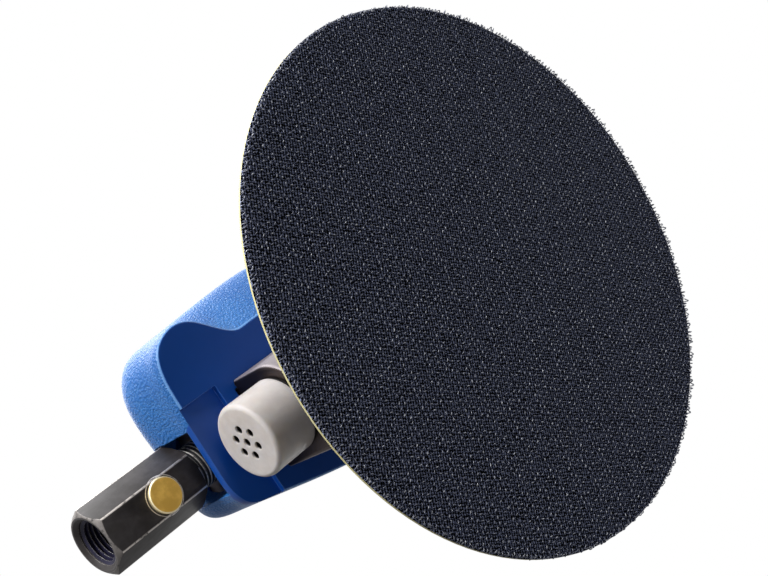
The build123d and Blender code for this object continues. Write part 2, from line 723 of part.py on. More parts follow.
# Throttle lever: bent paddle with hub, on a cross pin
LEVER_UNDER = STEM_TOP + 0.15
with BuildPart() as throttle_lever:
    with BuildSketch(Plane.XZ.offset(-LEVER_HALF)):
        with BuildLine():
            Spline(
                (-44.4, 95.2), (-40.0, 98.0), (-30.0, 101.2), (-16.0, 103.6), (-2.0, 104.6), (7.0, 104.3),
                (13.0, 102.4),
            )
            Line((13.0, 102.4), (13.0, 101.0))
            Spline((13.0, 101.0), (7.5, 101.9), (-3.0, 102.1), (-14.0, 100.9), (-21.0, 99.2))
            Polyline(
                (-21.0, 99.2), (-23.0, LEVER_UNDER), (-31.0, LEVER_UNDER), (-39.2, PIVOT_Z - 1.2),
                (-42.0, PIVOT_Z - 3.0), (-44.4, PIVOT_Z - 1.8), (-45.0, PIVOT_Z), (-44.4, 95.2),
            )
        make_face()
    extrude(amount=2 * LEVER_HALF)
    with BuildSketch(Plane.XY.offset(PIVOT_Z - 10)):
        with Locations((-48.0, 0)):
            plan = Rectangle(61.0, 2 * LEVER_HALF, align=(Align.MIN, Align.CENTER))
        fillet(plan.vertices().group_by(Axis.X)[-1], LEVER_CORNER)
    extrude(amount=30, mode=Mode.INTERSECT)
    side_faces = throttle_lever.faces().filter_by(Axis.Y)
    fillet(side_faces.edges(), LEVER_EDGE)
    with BuildSketch(Plane.XZ.offset(-LEVER_HALF)):
        with Locations((PIVOT_X, PIVOT_Z)):
            Circle(PIN_R + 0.04)
    extrude(amount=2 * LEVER_HALF, mode=Mode.SUBTRACT)
save(throttle_lever.part, "throttle_lever")

PIN_HALF = 12.0
with BuildPart() as lever_pin:
    with BuildSketch(Plane.XZ.offset(-PIN_HALF)):
        with Locations((PIVOT_X, PIVOT_Z)):
            Circle(PIN_R)
    extrude(amount=2 * PIN_HALF)
save(lever_pin.part, "lever_pin")

# Two countersunk-head screws that hold the shell on the casting
with BuildPart() as shell_screws:
    with BuildSketch(Plane.XY.offset(SCREW_SEAT)):
        with Locations(*SCREWS):
            Circle(3.3)
            RegularPolygon(1.6, 6, mode=Mode.SUBTRACT)
    extrude(amount=2.2)
    with BuildSketch(Plane.XY.offset(SCREW_SEAT)):
        with Locations(*SCREWS):
            Circle(1.93)
    extrude(amount=CASTING_TOP - 3.4 - SCREW_SEAT)
save(shell_screws.part, "shell_screws")

# Grip shell: smooth sections from the flat underside to the palm dome
LOW = (
    (25.0, 0.0), (22.5, -11.5), (14.0, -20.5), (1.0, -24.2), (-12.0, -24.4), (-24.0, -24.3), (-32.0, -24.3),
    (-35.8, -24.4), (-38.6, -26.0), (-43.0, -30.0), (-47.6, -33.8), (-51.5, -34.9), (-56.0, -34.2),
    (-60.4, -31.4), (-62.9, -26.5), (-63.9, -18.0), (-64.2, -8.0), (-64.5, 2.0), (-64.2, 9.5), (-61.6, 14.4),
    (-56.0, 16.6), (-47.0, 19.0), (-35.0, 22.2), (-20.0, 25.0), (-4.0, 25.4), (13.0, 21.0), (22.5, 11.5),
)
MID = (
    (34.0, -2.0), (31.2, -16.0), (22.5, -28.0), (8.0, -35.0), (-8.0, -37.2), (-20.0, -37.0), (-29.0, -36.4),
    (-34.0, -36.0), (-38.5, -35.65), (-43.0, -35.35), (-48.0, -35.0), (-53.0, -34.6), (-57.8, -33.6),
    (-61.9, -30.9), (-65.0, -26.3), (-66.6, -18.0), (-66.3, -8.0), (-66.0, 2.0), (-65.8, 9.5), (-63.6, 14.0),
    (-57.5, 16.6), (-48.0, 19.1), (-35.0, 22.6), (-18.0, 26.8), (0.0, 29.4), (18.0, 26.8), (30.0, 14.0),
)


def blend(a, b, t):
    return tuple((p[0] + (q[0] - p[0]) * t, p[1] + (q[1] - p[1]) * t) for p, q in zip(a, b))


def shrink(ring, centre, kx, ky):
    return tuple((centre[0] + (p[0] - centre[0]) * kx, centre[1] + (p[1] - centre[1]) * ky) for p in ring)


DOME = (-6.0, -4.0)
SECTIONS = (
    (SHELL_BOTTOM, LOW),
    (63.0, blend(LOW, MID, 0.38)),
    (69.0, blend(LOW, MID, 0.76)),
    (76.0, MID),
    (85.0, shrink(MID, DOME, 0.90, 0.95)),
    (91.0, shrink(MID, DOME, 0.80, 0.86)),
    (95.5, shrink(MID, DOME, 0.68, 0.74)),
    (98.5, shrink(MID, DOME, 0.54, 0.59)),
    (100.3, shrink(MID, DOME, 0.38, 0.42)),
    (101.2, shrink(MID, DOME, 0.23, 0.25)),
    (101.5, shrink(MID, DOME, 0.11, 0.12)),
)
with BuildPart() as grip_shell:
    for z, ring in SECTIONS:
        with BuildSketch(Plane.XY.offset(z)):
            with BuildLine():
                Spline(*ring, periodic=True)
            make_face()
    loft()
    fillet(grip_shell.faces().sort_by(Axis.Z)[0].edges(), SHELL_EDGE)
    with BuildSketch(Plane.XY.offset(SHELL_BOTTOM - 1)):
        Circle(BARREL_R + 0.3)
    extrude(amount=CASTING_TOP + 0.1 - SHELL_BOTTOM + 1, mode=Mode.SUBTRACT)
    with BuildSketch(Plane.XY.offset(SHELL_BOTTOM - 1)):
        with Locations((BOSS_END - 0.6, 0)):
            Rectangle(40.0, 2 * BLOCK_HALF + 0.6, align=(Align.MIN, Align.CENTER))
    extrude(amount=BLOCK_TOP + 0.3 - SHELL_BOTTOM + 1, mode=Mode.SUBTRACT)
    with BuildSketch(Plane.XY.offset(BLOCK_BOTTOM - 0.4)):
        with Locations((BLOCK_END - 4.0, 0)):
            Rectangle(30.0, 2 * BLOCK_HALF + 0.6, align=(Align.MIN, Align.CENTER))
    extrude(amount=BLOCK_TOP + 0.3 - BLOCK_BOTTOM + 0.4, mode=Mode.SUBTRACT)
    with BuildSketch(Plane.YZ.offset(BLOCK_END - 3.0)):
        with Locations((0, WINDOW_BOTTOM)):
            Rectangle(2 * WINDOW_HALF, HEX_Z - WINDOW_BOTTOM, align=(Align.CENTER, Align.MIN))
        with Locations((0, HEX_Z)):
            Circle(WINDOW_HALF)
    extrude(amount=-15.0, mode=Mode.SUBTRACT)
    with BuildSketch(Plane.YZ.offset(HEX_REAR + 0.3)):
        with Locations((0, HEX_Z)):
            Circle(HEX_R + 0.3)
    extrude(amount=-15.0, mode=Mode.SUBTRACT)
    with BuildSketch(Plane.XZ.offset(RECESS_HALF)):
        with BuildLine():
            Polyline(
                (RECESS_FRONT, SHELL_BOTTOM - 2.0),
                (RECESS_FRONT, RECESS_TOP),
                (2 * RECESS_REAR - RECESS_FRONT, 2 * RECESS_REAR_TOP - RECESS_TOP),
                (2 * RECESS_REAR - RECESS_FRONT, SHELL_BOTTOM - 2.0),
                close=True,
            )
        make_face()
    extrude(amount=-3 * RECESS_HALF, mode=Mode.SUBTRACT)
    with BuildSketch(Plane.XY.offset(CHANNEL_FLOOR)):
        with Locations((-50.0, 0)):
            Rectangle(65.0, 2 * CHANNEL_HALF, align=(Align.MIN, Align.CENTER))
    extrude(amount=30.0, mode=Mode.SUBTRACT)
    with BuildSketch(Plane.XY.offset(BLOCK_TOP - 1)):
        with Locations((VALVE_X, 0)):
            Circle(STEM_R + 0.4)
    extrude(amount=10.0, mode=Mode.SUBTRACT)
    with BuildSketch(Plane.XZ.offset(-PIN_HALF - 0.05)):
        with Locations((PIVOT_X, PIVOT_Z)):
            Circle(PIN_R)
    extrude(amount=2 * PIN_HALF + 0.1, mode=Mode.SUBTRACT)
    with BuildSketch(Plane.XY.offset(CASTING_TOP - 1)):
        with Locations(*SCREWS):
            Circle(2.2)
    extrude(amount=30.0, mode=Mode.SUBTRACT)
    with BuildSketch(Plane.XY.offset(SCREW_SEAT)):
        with Locations(*SCREWS):
            Circle(3.7)
    extrude(amount=30.0, mode=Mode.SUBTRACT)
save(grip_shell.part, "grip_shell")
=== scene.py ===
import logging
import math
from dataclasses import dataclass, field
from enum import Enum
from typing import Sequence

import bpy
import numpy as np
from mathutils import Matrix, Vector


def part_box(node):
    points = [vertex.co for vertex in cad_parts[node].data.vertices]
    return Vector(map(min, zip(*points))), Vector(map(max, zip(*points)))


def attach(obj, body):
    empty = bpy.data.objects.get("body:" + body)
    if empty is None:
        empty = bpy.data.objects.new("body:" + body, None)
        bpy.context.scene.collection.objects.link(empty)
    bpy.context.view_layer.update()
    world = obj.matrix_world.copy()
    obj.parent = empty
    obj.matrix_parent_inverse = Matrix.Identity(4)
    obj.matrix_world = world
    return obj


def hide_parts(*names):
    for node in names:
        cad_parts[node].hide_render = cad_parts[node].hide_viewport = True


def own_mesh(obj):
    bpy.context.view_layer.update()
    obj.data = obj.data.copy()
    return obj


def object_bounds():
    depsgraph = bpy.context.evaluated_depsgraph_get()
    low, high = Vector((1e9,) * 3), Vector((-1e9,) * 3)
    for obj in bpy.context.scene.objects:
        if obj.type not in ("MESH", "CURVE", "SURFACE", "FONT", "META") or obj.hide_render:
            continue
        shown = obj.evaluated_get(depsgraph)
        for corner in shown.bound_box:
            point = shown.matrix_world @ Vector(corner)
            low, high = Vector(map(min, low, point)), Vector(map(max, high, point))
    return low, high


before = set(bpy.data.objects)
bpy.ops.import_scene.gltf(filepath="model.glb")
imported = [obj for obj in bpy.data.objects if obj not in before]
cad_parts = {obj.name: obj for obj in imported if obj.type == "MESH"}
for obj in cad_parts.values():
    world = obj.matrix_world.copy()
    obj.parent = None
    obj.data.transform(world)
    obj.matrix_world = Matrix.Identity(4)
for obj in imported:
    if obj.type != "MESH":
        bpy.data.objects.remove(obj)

log = logging.getLogger("sander")

MM = 0.001
Point = tuple[float, float, float]
Span = tuple[float, float]
Colour = tuple[float, float, float, float]
Socket = bpy.types.NodeSocket
Faces = list[tuple[int, ...]]
CAD_LOW, CAD_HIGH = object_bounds()

MIX_COLOUR_INPUTS = (0, 6, 7)
MIX_COLOUR_OUTPUT = 2
BEVEL_SAMPLES = 6
FINE_GRAIN = 4200.0
MERGE_WITHIN = 0.002 * MM


class Axis(Enum):
    """World axis that a turned piece lies along."""

    X = (0.0, math.pi / 2, 0.0)
    Z = (0.0, 0.0, 0.0)


class Body(Enum):
    """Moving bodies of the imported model."""

    HOUSING = "housing"
    PAD = "pad_assembly"


class Thread(Enum):
    """Way round that the section of an inner or outer thread runs."""

    INNER = 1
    OUTER = -1


def rgb(red: int, green: int, blue: int) -> Colour:
    """Turn a display colour into the linear colour that shaders take.

    Args:
        red: Display red, 0 to 255.
        green: Display green, 0 to 255.
        blue: Display blue, 0 to 255.

    Returns:
        Linear colour with full alpha.
    """
    shown = (red / 255, green / 255, blue / 255)
    linear = [c / 12.92 if c <= 0.04045 else ((c + 0.055) / 1.055) ** 2.4 for c in shown]
    return (linear[0], linear[1], linear[2], 1.0)


class Shader:
    """One procedural node material, built socket by socket."""

    def __init__(self, name: str) -> None:
        """Start a material with a principled surface on Object coordinates.

        Args:
            name: Material name.
        """
        self.material = bpy.data.materials.new(name)
        self.material.use_nodes = True
        self.nodes = self.material.node_tree.nodes
        self.links = self.material.node_tree.links
        self.surface = self.nodes["Principled BSDF"]
        self.place = self.nodes.new("ShaderNodeTexCoord").outputs["Object"]

    def put(self, value: object, socket: Socket) -> None:
        """Link a socket into another, or set a plain value on it.

        Args:
            value: Socket, plain value, or None to leave the socket alone.
            socket: Socket that takes it.
        """
        if isinstance(value, bpy.types.NodeSocket):
            self.links.new(value, socket)
        elif value is not None:
            socket.default_value = value

    def set(self, **inputs: object) -> None:
        """Set or link the surface's sockets; an underscore stands for a space."""
        for key, value in inputs.items():
            self.put(value, self.surface.inputs[key.replace("_", " ").title().replace("Ior", "IOR")])

    def mapped(self, scale: Sequence[float], shift: Point = (0, 0, 0), turn: Point = (0, 0, 0)) -> Socket:
        """Give Object coordinates through a Mapping node.

        Args:
            scale: Scale on the three axes.
            shift: Location in metres, taken before the scale.
            turn: Rotation in radians.

        Returns:
            The mapped vector.
        """
        node = self.nodes.new("ShaderNodeMapping")
        node.vector_type = "TEXTURE"
        self.put(self.place, node.inputs["Vector"])
        node.inputs["Location"].default_value = shift
        node.inputs["Rotation"].default_value = turn
        node.inputs["Scale"].default_value = [1.0 / s for s in scale]
        return node.outputs["Vector"]

    def rippled(self, scale: float, sway: float) -> Socket:
        """Give Object coordinates pushed about by a noise.

        Args:
            scale: Scale of the noise per metre.
            sway: Reach of the push in metres.

        Returns:
            The pushed vector.
        """
        ripple = self.nodes.new("ShaderNodeTexNoise")
        ripple.inputs["Scale"].default_value = scale
        push, moved = (self.nodes.new("ShaderNodeVectorMath") for _ in range(2))
        push.operation, moved.operation = "SCALE", "ADD"
        push.inputs["Scale"].default_value = sway
        self.put(self.place, ripple.inputs["Vector"])
        self.put(ripple.outputs["Color"], push.inputs[0])
        self.put(self.place, moved.inputs[0])
        self.put(push.outputs["Vector"], moved.inputs[1])
        return moved.outputs["Vector"]

    def noise(
        self, scale: float, detail: float = 3.0, rough: float = 0.55, at: Socket | None = None
    ) -> Socket:
        """Give a noise value from 0 to 1.

        Args:
            scale: Scale per metre.
            detail: Number of finer layers.
            rough: Share of the finer layers.
            at: Vector to read, or None for Object coordinates.

        Returns:
            The noise value.
        """
        node = self.nodes.new("ShaderNodeTexNoise")
        self.put(at or self.place, node.inputs["Vector"])
        for key, value in (("Scale", scale), ("Detail", detail), ("Roughness", rough)):
            node.inputs[key].default_value = value
        return node.outputs["Fac"]

    def cells(self, scale: float, feature: str = "F1", at: Socket | None = None) -> Socket:
        """Give the distance value of a cell pattern.

        Args:
            scale: Scale per metre.
            feature: Kind of cell distance.
            at: Vector to read, or None for Object coordinates.

        Returns:
            The distance value.
        """
        node = self.nodes.new("ShaderNodeTexVoronoi")
        node.feature = feature
        self.put(at or self.place, node.inputs["Vector"])
        node.inputs["Scale"].default_value = scale
        return node.outputs["Distance"]

    def math(self, kind: str, a: object, b: object = None) -> Socket:
        """Work on one or two values by a Math node.

        Args:
            kind: Operation of the node.
            a: First value.
            b: Second value, where the operation has one.

        Returns:
            The result.
        """
        node = self.nodes.new("ShaderNodeMath")
        node.operation = kind
        for value, socket in zip((a, b), node.inputs):
            self.put(value, socket)
        return node.outputs["Value"]

    def plus(self, a: object, b: object) -> Socket:
        """Add two values."""
        return self.math("ADD", a, b)

    def minus(self, a: object, b: object) -> Socket:
        """Take the second value from the first."""
        return self.math("SUBTRACT", a, b)

    def times(self, a: object, b: object) -> Socket:
        """Multiply two values."""
        return self.math("MULTIPLY", a, b)

    def most(self, a: object, b: object) -> Socket:
        """Give the larger of two values."""
        return self.math("MAXIMUM", a, b)

    def inverse(self, share: object) -> Socket:
        """Give 1 less a share."""
        return self.minus(1.0, share)

    def lifted(self, least: float, gain: float, value: Socket) -> Socket:
        """Give a least amount plus a value times a gain."""
        return self.plus(least, self.times(value, gain))

    def band(self, value: Socket, low: float, high: float) -> Socket:
        """Map a value smoothly from 0 at low to 1 at high.

        Args:
            value: Value to map.
            low: Value that gives 0.
            high: Value that gives 1, which may be the smaller one.

        Returns:
            A share from 0 to 1.
        """
        node = self.nodes.new("ShaderNodeMapRange")
        node.interpolation_type = "SMOOTHSTEP"
        self.put(value, node.inputs["Value"])
        node.inputs["From Min"].default_value = low
        node.inputs["From Max"].default_value = high
        return node.outputs["Result"]

    def near(self, value: Socket, target: object, fade: Span) -> Socket:
        """Give a share that is 1 where a value meets a target and fades with their distance."""
        return self.band(self.math("ABSOLUTE", self.minus(value, target)), *fade)

    def axes(self, shift: Point = (0, 0, 0)) -> tuple[Socket, Socket, Socket]:
        """Give the place's X, Y and Z in metres from a point.

        Args:
            shift: The point.

        Returns:
            The three values.
        """
        node = self.nodes.new("ShaderNodeSeparateXYZ")
        self.put(self.mapped((1, 1, 1), shift), node.inputs["Vector"])
        return node.outputs["X"], node.outputs["Y"], node.outputs["Z"]

    def radius_from(self, centre: Point, axis: Axis) -> Socket:
        """Give the distance from an axis through a point.

        Args:
            centre: The point in metres.
            axis: Direction of the axis.

        Returns:
            The distance in metres.
        """
        x, y, z = self.axes(centre)
        a, b = (y, z) if axis is Axis.X else (x, y)
        return self.math("SQRT", self.plus(self.times(a, a), self.times(b, b)))

    def facing(self, axis: str) -> Socket:
        """Give one part of the surface's own normal, -1 to 1.

        Args:
            axis: X, Y or Z.

        Returns:
            That part of the normal.
        """
        node = self.nodes.new("ShaderNodeSeparateXYZ")
        self.put(self.nodes.new("ShaderNodeTexCoord").outputs["Normal"], node.inputs["Vector"])
        return node.outputs[axis]

    def mix(self, share: object, a: object, b: object) -> Socket:
        """Mix two colours.

        Args:
            share: Share of the second colour, 0 to 1.
            a: First colour.
            b: Second colour.

        Returns:
            The mixed colour.
        """
        node = self.nodes.new("ShaderNodeMix")
        node.data_type = "RGBA"
        for value, index in zip((share, a, b), MIX_COLOUR_INPUTS):
            self.put(value, node.inputs[index])
        return node.outputs[MIX_COLOUR_OUTPUT]

    def edges(self, radius: float, turn: Span = (0.02, 0.25)) -> tuple[Socket, Socket]:
        """Find the edges of the surface.

        Args:
            radius: Reach of the rounding in metres.
            turn: Turn of the normal at which wear starts and at which it is full.

        Returns:
            The rounded normal, and a share that is 1 on the edges.
        """
        bevel = self.nodes.new("ShaderNodeBevel")
        bevel.samples = BEVEL_SAMPLES
        bevel.inputs["Radius"].default_value = radius
        dot = self.nodes.new("ShaderNodeVectorMath")
        dot.operation = "DOT_PRODUCT"
        self.put(bevel.outputs["Normal"], dot.inputs[0])
        self.put(self.nodes.new("ShaderNodeNewGeometry").outputs["Normal"], dot.inputs[1])
        return bevel.outputs["Normal"], self.band(self.inverse(dot.outputs["Value"]), *turn)

    def bump(
        self, height: Socket, depth: float, strength: float, normal: Socket | None = None
    ) -> Socket:
        """Bend the normal by a height.

        Args:
            height: Height from 0 to 1.
            depth: What a height of 1 is in metres.
            strength: Share of the bend that is kept.
            normal: Normal to bend, or None for the surface's own.

        Returns:
            The bent normal.
        """
        node = self.nodes.new("ShaderNodeBump")
        node.inputs["Strength"].default_value = strength
        node.inputs["Distance"].default_value = depth
        self.put(height, node.inputs["Height"])
        self.put(normal, node.inputs["Normal"])
        return node.outputs["Normal"]


class Finish:
    """Surface finish that makes its own material."""

    def make(self, name: str) -> bpy.types.Material:
        """Build the material.

        Args:
            name: Material name.

        Returns:
            The material.
        """
        shader = Shader(name)
        self.paint(shader)
        return shader.material

    def paint(self, s: Shader) -> None:
        """Fill a shader with this finish."""
        raise NotImplementedError


@dataclass(frozen=True)
class GrainedPlastic(Finish):
    """Blue moulding with a leather grain on its outside and a smooth flat underside. The underside, the
    recess and a rear strip are painted a darker blue as painted shade. The edges, the underside's rim and the
    grain cells carry painted highlights.
    """

    base: Colour = rgb(46, 126, 206)
    deep: Colour = rgb(36, 110, 192)
    # Darker, deeper blue painted as shade on the underside, in the recess, on the rear strip and on the face
    # below the window.
    under: Colour = rgb(5, 82, 180)
    # Paler blue painted on the grain cells as painted sheen.
    crest: Colour = rgb(100, 164, 230)
    # Pale blue painted as a highlight along the edges and the underside's rim.
    lip_highlight: Colour = rgb(122, 182, 252)
    cell: float = 1650.0
    ripple: float = 1100.0
    sway: float = 0.5 * MM
    depth: float = 0.30 * MM
    rough: Span = (0.34, 0.16)
    smooth_below: Span = (57.9 * MM, 58.4 * MM)
    # Rise of the painted underside shade up the rear strip, and the span of that strip.
    rear_shade_rise: float = 2.7 * MM
    shade_rear_x: Span = (-60 * MM, -61 * MM)
    shade_rear_y: Span = (-12 * MM, -9.5 * MM)
    # Span of the face below the window that takes the painted underside shade.
    painted_shade_wall_x: Span = (-56 * MM, -55 * MM)
    painted_shade_wall_z: Span = (59.6 * MM, 59.2 * MM)
    # Height span of the painted highlight line along the underside's rim.
    lip_highlight_from: Span = (57.72 * MM, 57.8 * MM)
    lip_highlight_to: Span = (58.4 * MM, 58.15 * MM)

    def paint(self, s: Shader) -> None:
        """Lay the grain on the outside with a painted sheen on its cells, a darker tone below as painted
        shade, and a painted highlight on the rim between.

        Args:
            s: Shader to fill.
        """
        grain = s.cells(self.cell, "SMOOTH_F1", s.rippled(self.ripple, self.sway))
        fine = s.noise(FINE_GRAIN, 2.0)
        height = s.minus(s.plus(grain, s.times(fine, 0.25)), 0.5)
        x, y, z = s.axes()
        # Masks for the painted shade: the rear strip is shaded higher up, the face below the window is
        # shaded, and all that is not grained outside takes the darker tone.
        rear = s.times(s.band(x, *self.shade_rear_x), s.band(y, *self.shade_rear_y))
        flank = s.band(s.minus(z, s.times(rear, self.rear_shade_rise)), *self.smooth_below)
        painted_shade_wall = s.times(s.band(z, *self.painted_shade_wall_z), s.band(s.facing("X"), -0.6, -0.8))
        painted_shade_wall = s.times(painted_shade_wall, s.band(x, *self.painted_shade_wall_x))
        outside = s.times(flank, s.band(s.facing("Z"), -0.9, -0.7))
        outside = s.times(outside, s.inverse(painted_shade_wall))
        tone = s.mix(s.band(s.noise(45.0, 3.0, 0.5), 0.35, 0.75), self.deep, self.base)
        # Painted sheen: a paler blue on the grain cells.
        tone = s.mix(s.times(s.band(grain, 0.5, 0.1), 0.4), tone, self.crest)
        # Painted shade: the darker under colour wherever the surface is not grained outside.
        tone = s.mix(outside, self.under, tone)
        # Painted highlight: the edges and the rim above the underside take the pale highlight colour.
        rounded, edge = s.edges(0.35 * MM)
        ridge = s.times(s.band(z, *self.lip_highlight_from), s.band(z, *self.lip_highlight_to))
        ridge = s.times(ridge, s.inverse(s.most(rear, painted_shade_wall)))
        s.set(
            base_color=s.mix(s.most(s.times(edge, 0.4), s.times(ridge, 0.9)), tone, self.lip_highlight),
            roughness=s.lifted(*self.rough, fine),
            specular_ior_level=0.5,
            normal=s.bump(s.times(height, outside), self.depth, 1.0, rounded),
        )


@dataclass(frozen=True)
class CastMetal(Finish):
    """Blasted light alloy, with a smooth machine-cut face at the exhaust boss that is painted dark as a
    painted reflection of the dark shell above it.
    """

    base: Colour = rgb(158, 150, 154)
    shade: Colour = rgb(146, 138, 142)
    # Dark colour of the boss face, painted as the dark reflection that the smooth face shows.
    dark_face_reflection: Colour = rgb(74, 66, 64)
    # Near-white edge colour: worn edges, and a painted highlight on the boss's fillets.
    rubbed: Colour = rgb(236, 236, 240)
    rough: Span = (0.42, 0.25)
    face_x: Span = (-46.2 * MM, -46.6 * MM)
    face_z: Span = (60 * MM, 58 * MM)

    def paint(self, s: Shader) -> None:
        """Cloud and blast the casting, leave its boss face smooth and paint it dark as a painted reflection,
        and lighten its edges with wear and painted highlight.

        Args:
            s: Shader to fill.
        """
        blast = s.noise(2600.0, 4.0, 0.65)
        rounded, edge = s.edges(0.5 * MM)
        x, _, z = s.axes()
        face = s.times(s.band(x, *self.face_x), s.band(z, *self.face_z))
        tone = s.mix(s.band(s.noise(90.0), 0.3, 0.7), self.shade, self.base)
        # Painted reflection: the boss face takes a dark colour.
        tone = s.mix(face, tone, self.dark_face_reflection)
        s.set(
            # Worn edges and painted edge highlight: the edges mix towards near-white.
            base_color=s.mix(s.times(edge, 0.6), tone, self.rubbed),
            metallic=s.lifted(0.35, 0.65, face),
            roughness=s.times(s.lifted(*self.rough, blast), s.inverse(s.times(face, 0.3))),
            normal=s.bump(s.times(blast, s.inverse(face)), 0.05 * MM, 0.55, rounded),
        )


@dataclass(frozen=True)
class SatinMoulding(Finish):
    """Warm grey satin moulding with faint flow marks, rubbed edges and painted shade inside its holes."""

    base: Colour = rgb(244, 236, 232)
    shade: Colour = rgb(234, 225, 220)
    rubbed: Colour = rgb(240, 236, 230)
    # Dark colour painted as shade inside the holes.
    hole_shade: Colour = rgb(30, 27, 25)
    rough: Span = (0.38, 0.12)
    centre: Point = (-61.4 * MM, 0.0, 45.7 * MM)
    holes: Span = (5.25 * MM, 5.15 * MM)
    hole_shade_depth: Span = (0.2 * MM, 0.7 * MM)

    def paint(self, s: Shader) -> None:
        """Mottle the moulding and paint shade inside its holes, darker deeper in.

        Args:
            s: Shader to fill.
        """
        mottle = s.noise(260.0, 4.0, 0.6)
        rounded, edge = s.edges(0.3 * MM)
        tone = s.mix(s.band(mottle, 0.3, 0.72), self.shade, self.base)
        tone = s.mix(s.times(edge, 0.4), tone, self.rubbed)
        depth, _, _ = s.axes(self.centre)
        inner = s.band(s.radius_from(self.centre, Axis.X), *self.holes)
        s.set(
            # Painted shade: darker with depth inside the holes.
            base_color=s.mix(s.times(s.band(depth, *self.hole_shade_depth), inner), tone, self.hole_shade),
            roughness=s.lifted(*self.rough, mottle),
            specular_ior_level=0.35,
            subsurface_weight=0.3,
            subsurface_radius=(1.0, 0.85, 0.6),
            subsurface_scale=5 * MM,
            normal=s.bump(s.noise(FINE_GRAIN, 2.0), 0.03 * MM, 0.4, rounded),
        )


@dataclass(frozen=True)
class BlackOxide(Finish):
    """Blackened steel, milled lengthwise, with bright worn edges. It can also carry painted highlights, such
    as a ring round the regulator and lit thread crests.
    """

    base: Colour = rgb(72, 68, 69)
    dark: Colour = rgb(49, 45, 44)
    bright_wear_and_highlight: Colour = rgb(226, 218, 212)
    rough: Span = (0.34, 0.2)
    stretch: Point = (140.0, 1700.0, 1700.0)
    wear: float = 0.45 * MM
    centre: Point = (-97.1 * MM, 0.0, 73.6 * MM)
    corner: float = 9.81 * MM
    face: float = 8.15 * MM
    slope: float = 1.33
    end_fade: Span = (0.14 * MM, 0.04 * MM)
    # Centre, radius and fade of a painted highlight ring at the edge of the counterbore round the regulator.
    spot_highlight: Point = (-77.9 * MM, 0.0, 0.0)
    spot_highlight_radius: float = 5.35 * MM
    spot_highlight_fade: Span = (0.16 * MM, 0.05 * MM)

    def paint(self, s: Shader) -> None:
        """Mill the steel, rub its edges and its turned end bright, and paint a highlight ring round the
        regulator.

        Args:
            s: Shader to fill.
        """
        mill = s.noise(1.0, 4.0, 0.6, s.mapped(self.stretch))
        rounded, edge = s.edges(self.wear)
        out = s.radius_from(self.centre, Axis.X)
        # Hexagon corners rubbed bright as wear. Given a thread's crest radius instead, it paints the crests
        # bright as highlight.
        corner_wear_and_highlight = s.band(out, self.corner - 0.22 * MM, self.corner - 0.08 * MM)
        along, _, _ = s.axes(self.centre)
        turned_end = s.near(out, s.lifted(self.face, self.slope, along), self.end_fade)
        # Painted highlight: a thin bright ring round the regulator.
        spot_highlight = s.near(s.radius_from(self.spot_highlight, Axis.Z), self.spot_highlight_radius, self.spot_highlight_fade)
        bright = s.most(s.most(s.times(turned_end, 0.3), spot_highlight), s.most(edge, corner_wear_and_highlight))
        rubbed = s.times(bright, s.band(s.noise(900.0, 3.0, 0.6), 0.25, 0.5))
        tone = s.mix(s.band(s.noise(170.0, 4.0, 0.62), 0.32, 0.7), self.dark, self.base)
        s.set(
            base_color=s.mix(rubbed, tone, self.bright_wear_and_highlight),
            metallic=s.times(rubbed, 0.8),
            specular_ior_level=0.3,
            roughness=s.lifted(*self.rough, mill),
            normal=s.bump(mill, 0.02 * MM, 0.5, rounded),
        )


@dataclass(frozen=True)
class TurnedMetal(Finish):
    """Metal turned on a lathe: fine rings about an axis, mottled tarnish, bright worn edges and, where a rim
    radius is given, a painted highlight ring.
    """

    base: Colour
    tarnish: Colour
    rim: Colour
    centre: Point = (0.0, 0.0, 0.0)
    axis: Axis = Axis.Z
    rings: float = 9000.0
    gloss: float = 0.22
    mottle: float = 420.0
    # Radius of a rim that gets a painted highlight ring; 0 for none.
    rim_highlight_radius: float = 0.0

    def paint(self, s: Shader) -> None:
        """Turn the rings, tarnish the metal, brighten its edges and paint a highlight ring at any given rim
        radius.

        Args:
            s: Shader to fill.
        """
        out = s.radius_from(self.centre, self.axis)
        spots = s.noise(self.mottle, 5.0, 0.65)
        rounded, edge = s.edges(0.3 * MM)
        tone = s.mix(s.band(spots, 0.38, 0.66), self.tarnish, self.base)
        # Painted highlight: a bright ring just inside the rim of the regulator's brass disc.
        if self.rim_highlight_radius:
            edge = s.most(edge, s.band(out, self.rim_highlight_radius - 0.42 * MM, self.rim_highlight_radius - 0.26 * MM))
        s.set(
            base_color=s.mix(s.times(edge, 0.8), tone, self.rim),
            metallic=1.0,
            roughness=s.lifted(self.gloss, 0.25, spots),
            normal=s.bump(s.math("SINE", s.times(out, self.rings)), 0.006 * MM, 0.35, rounded),
        )


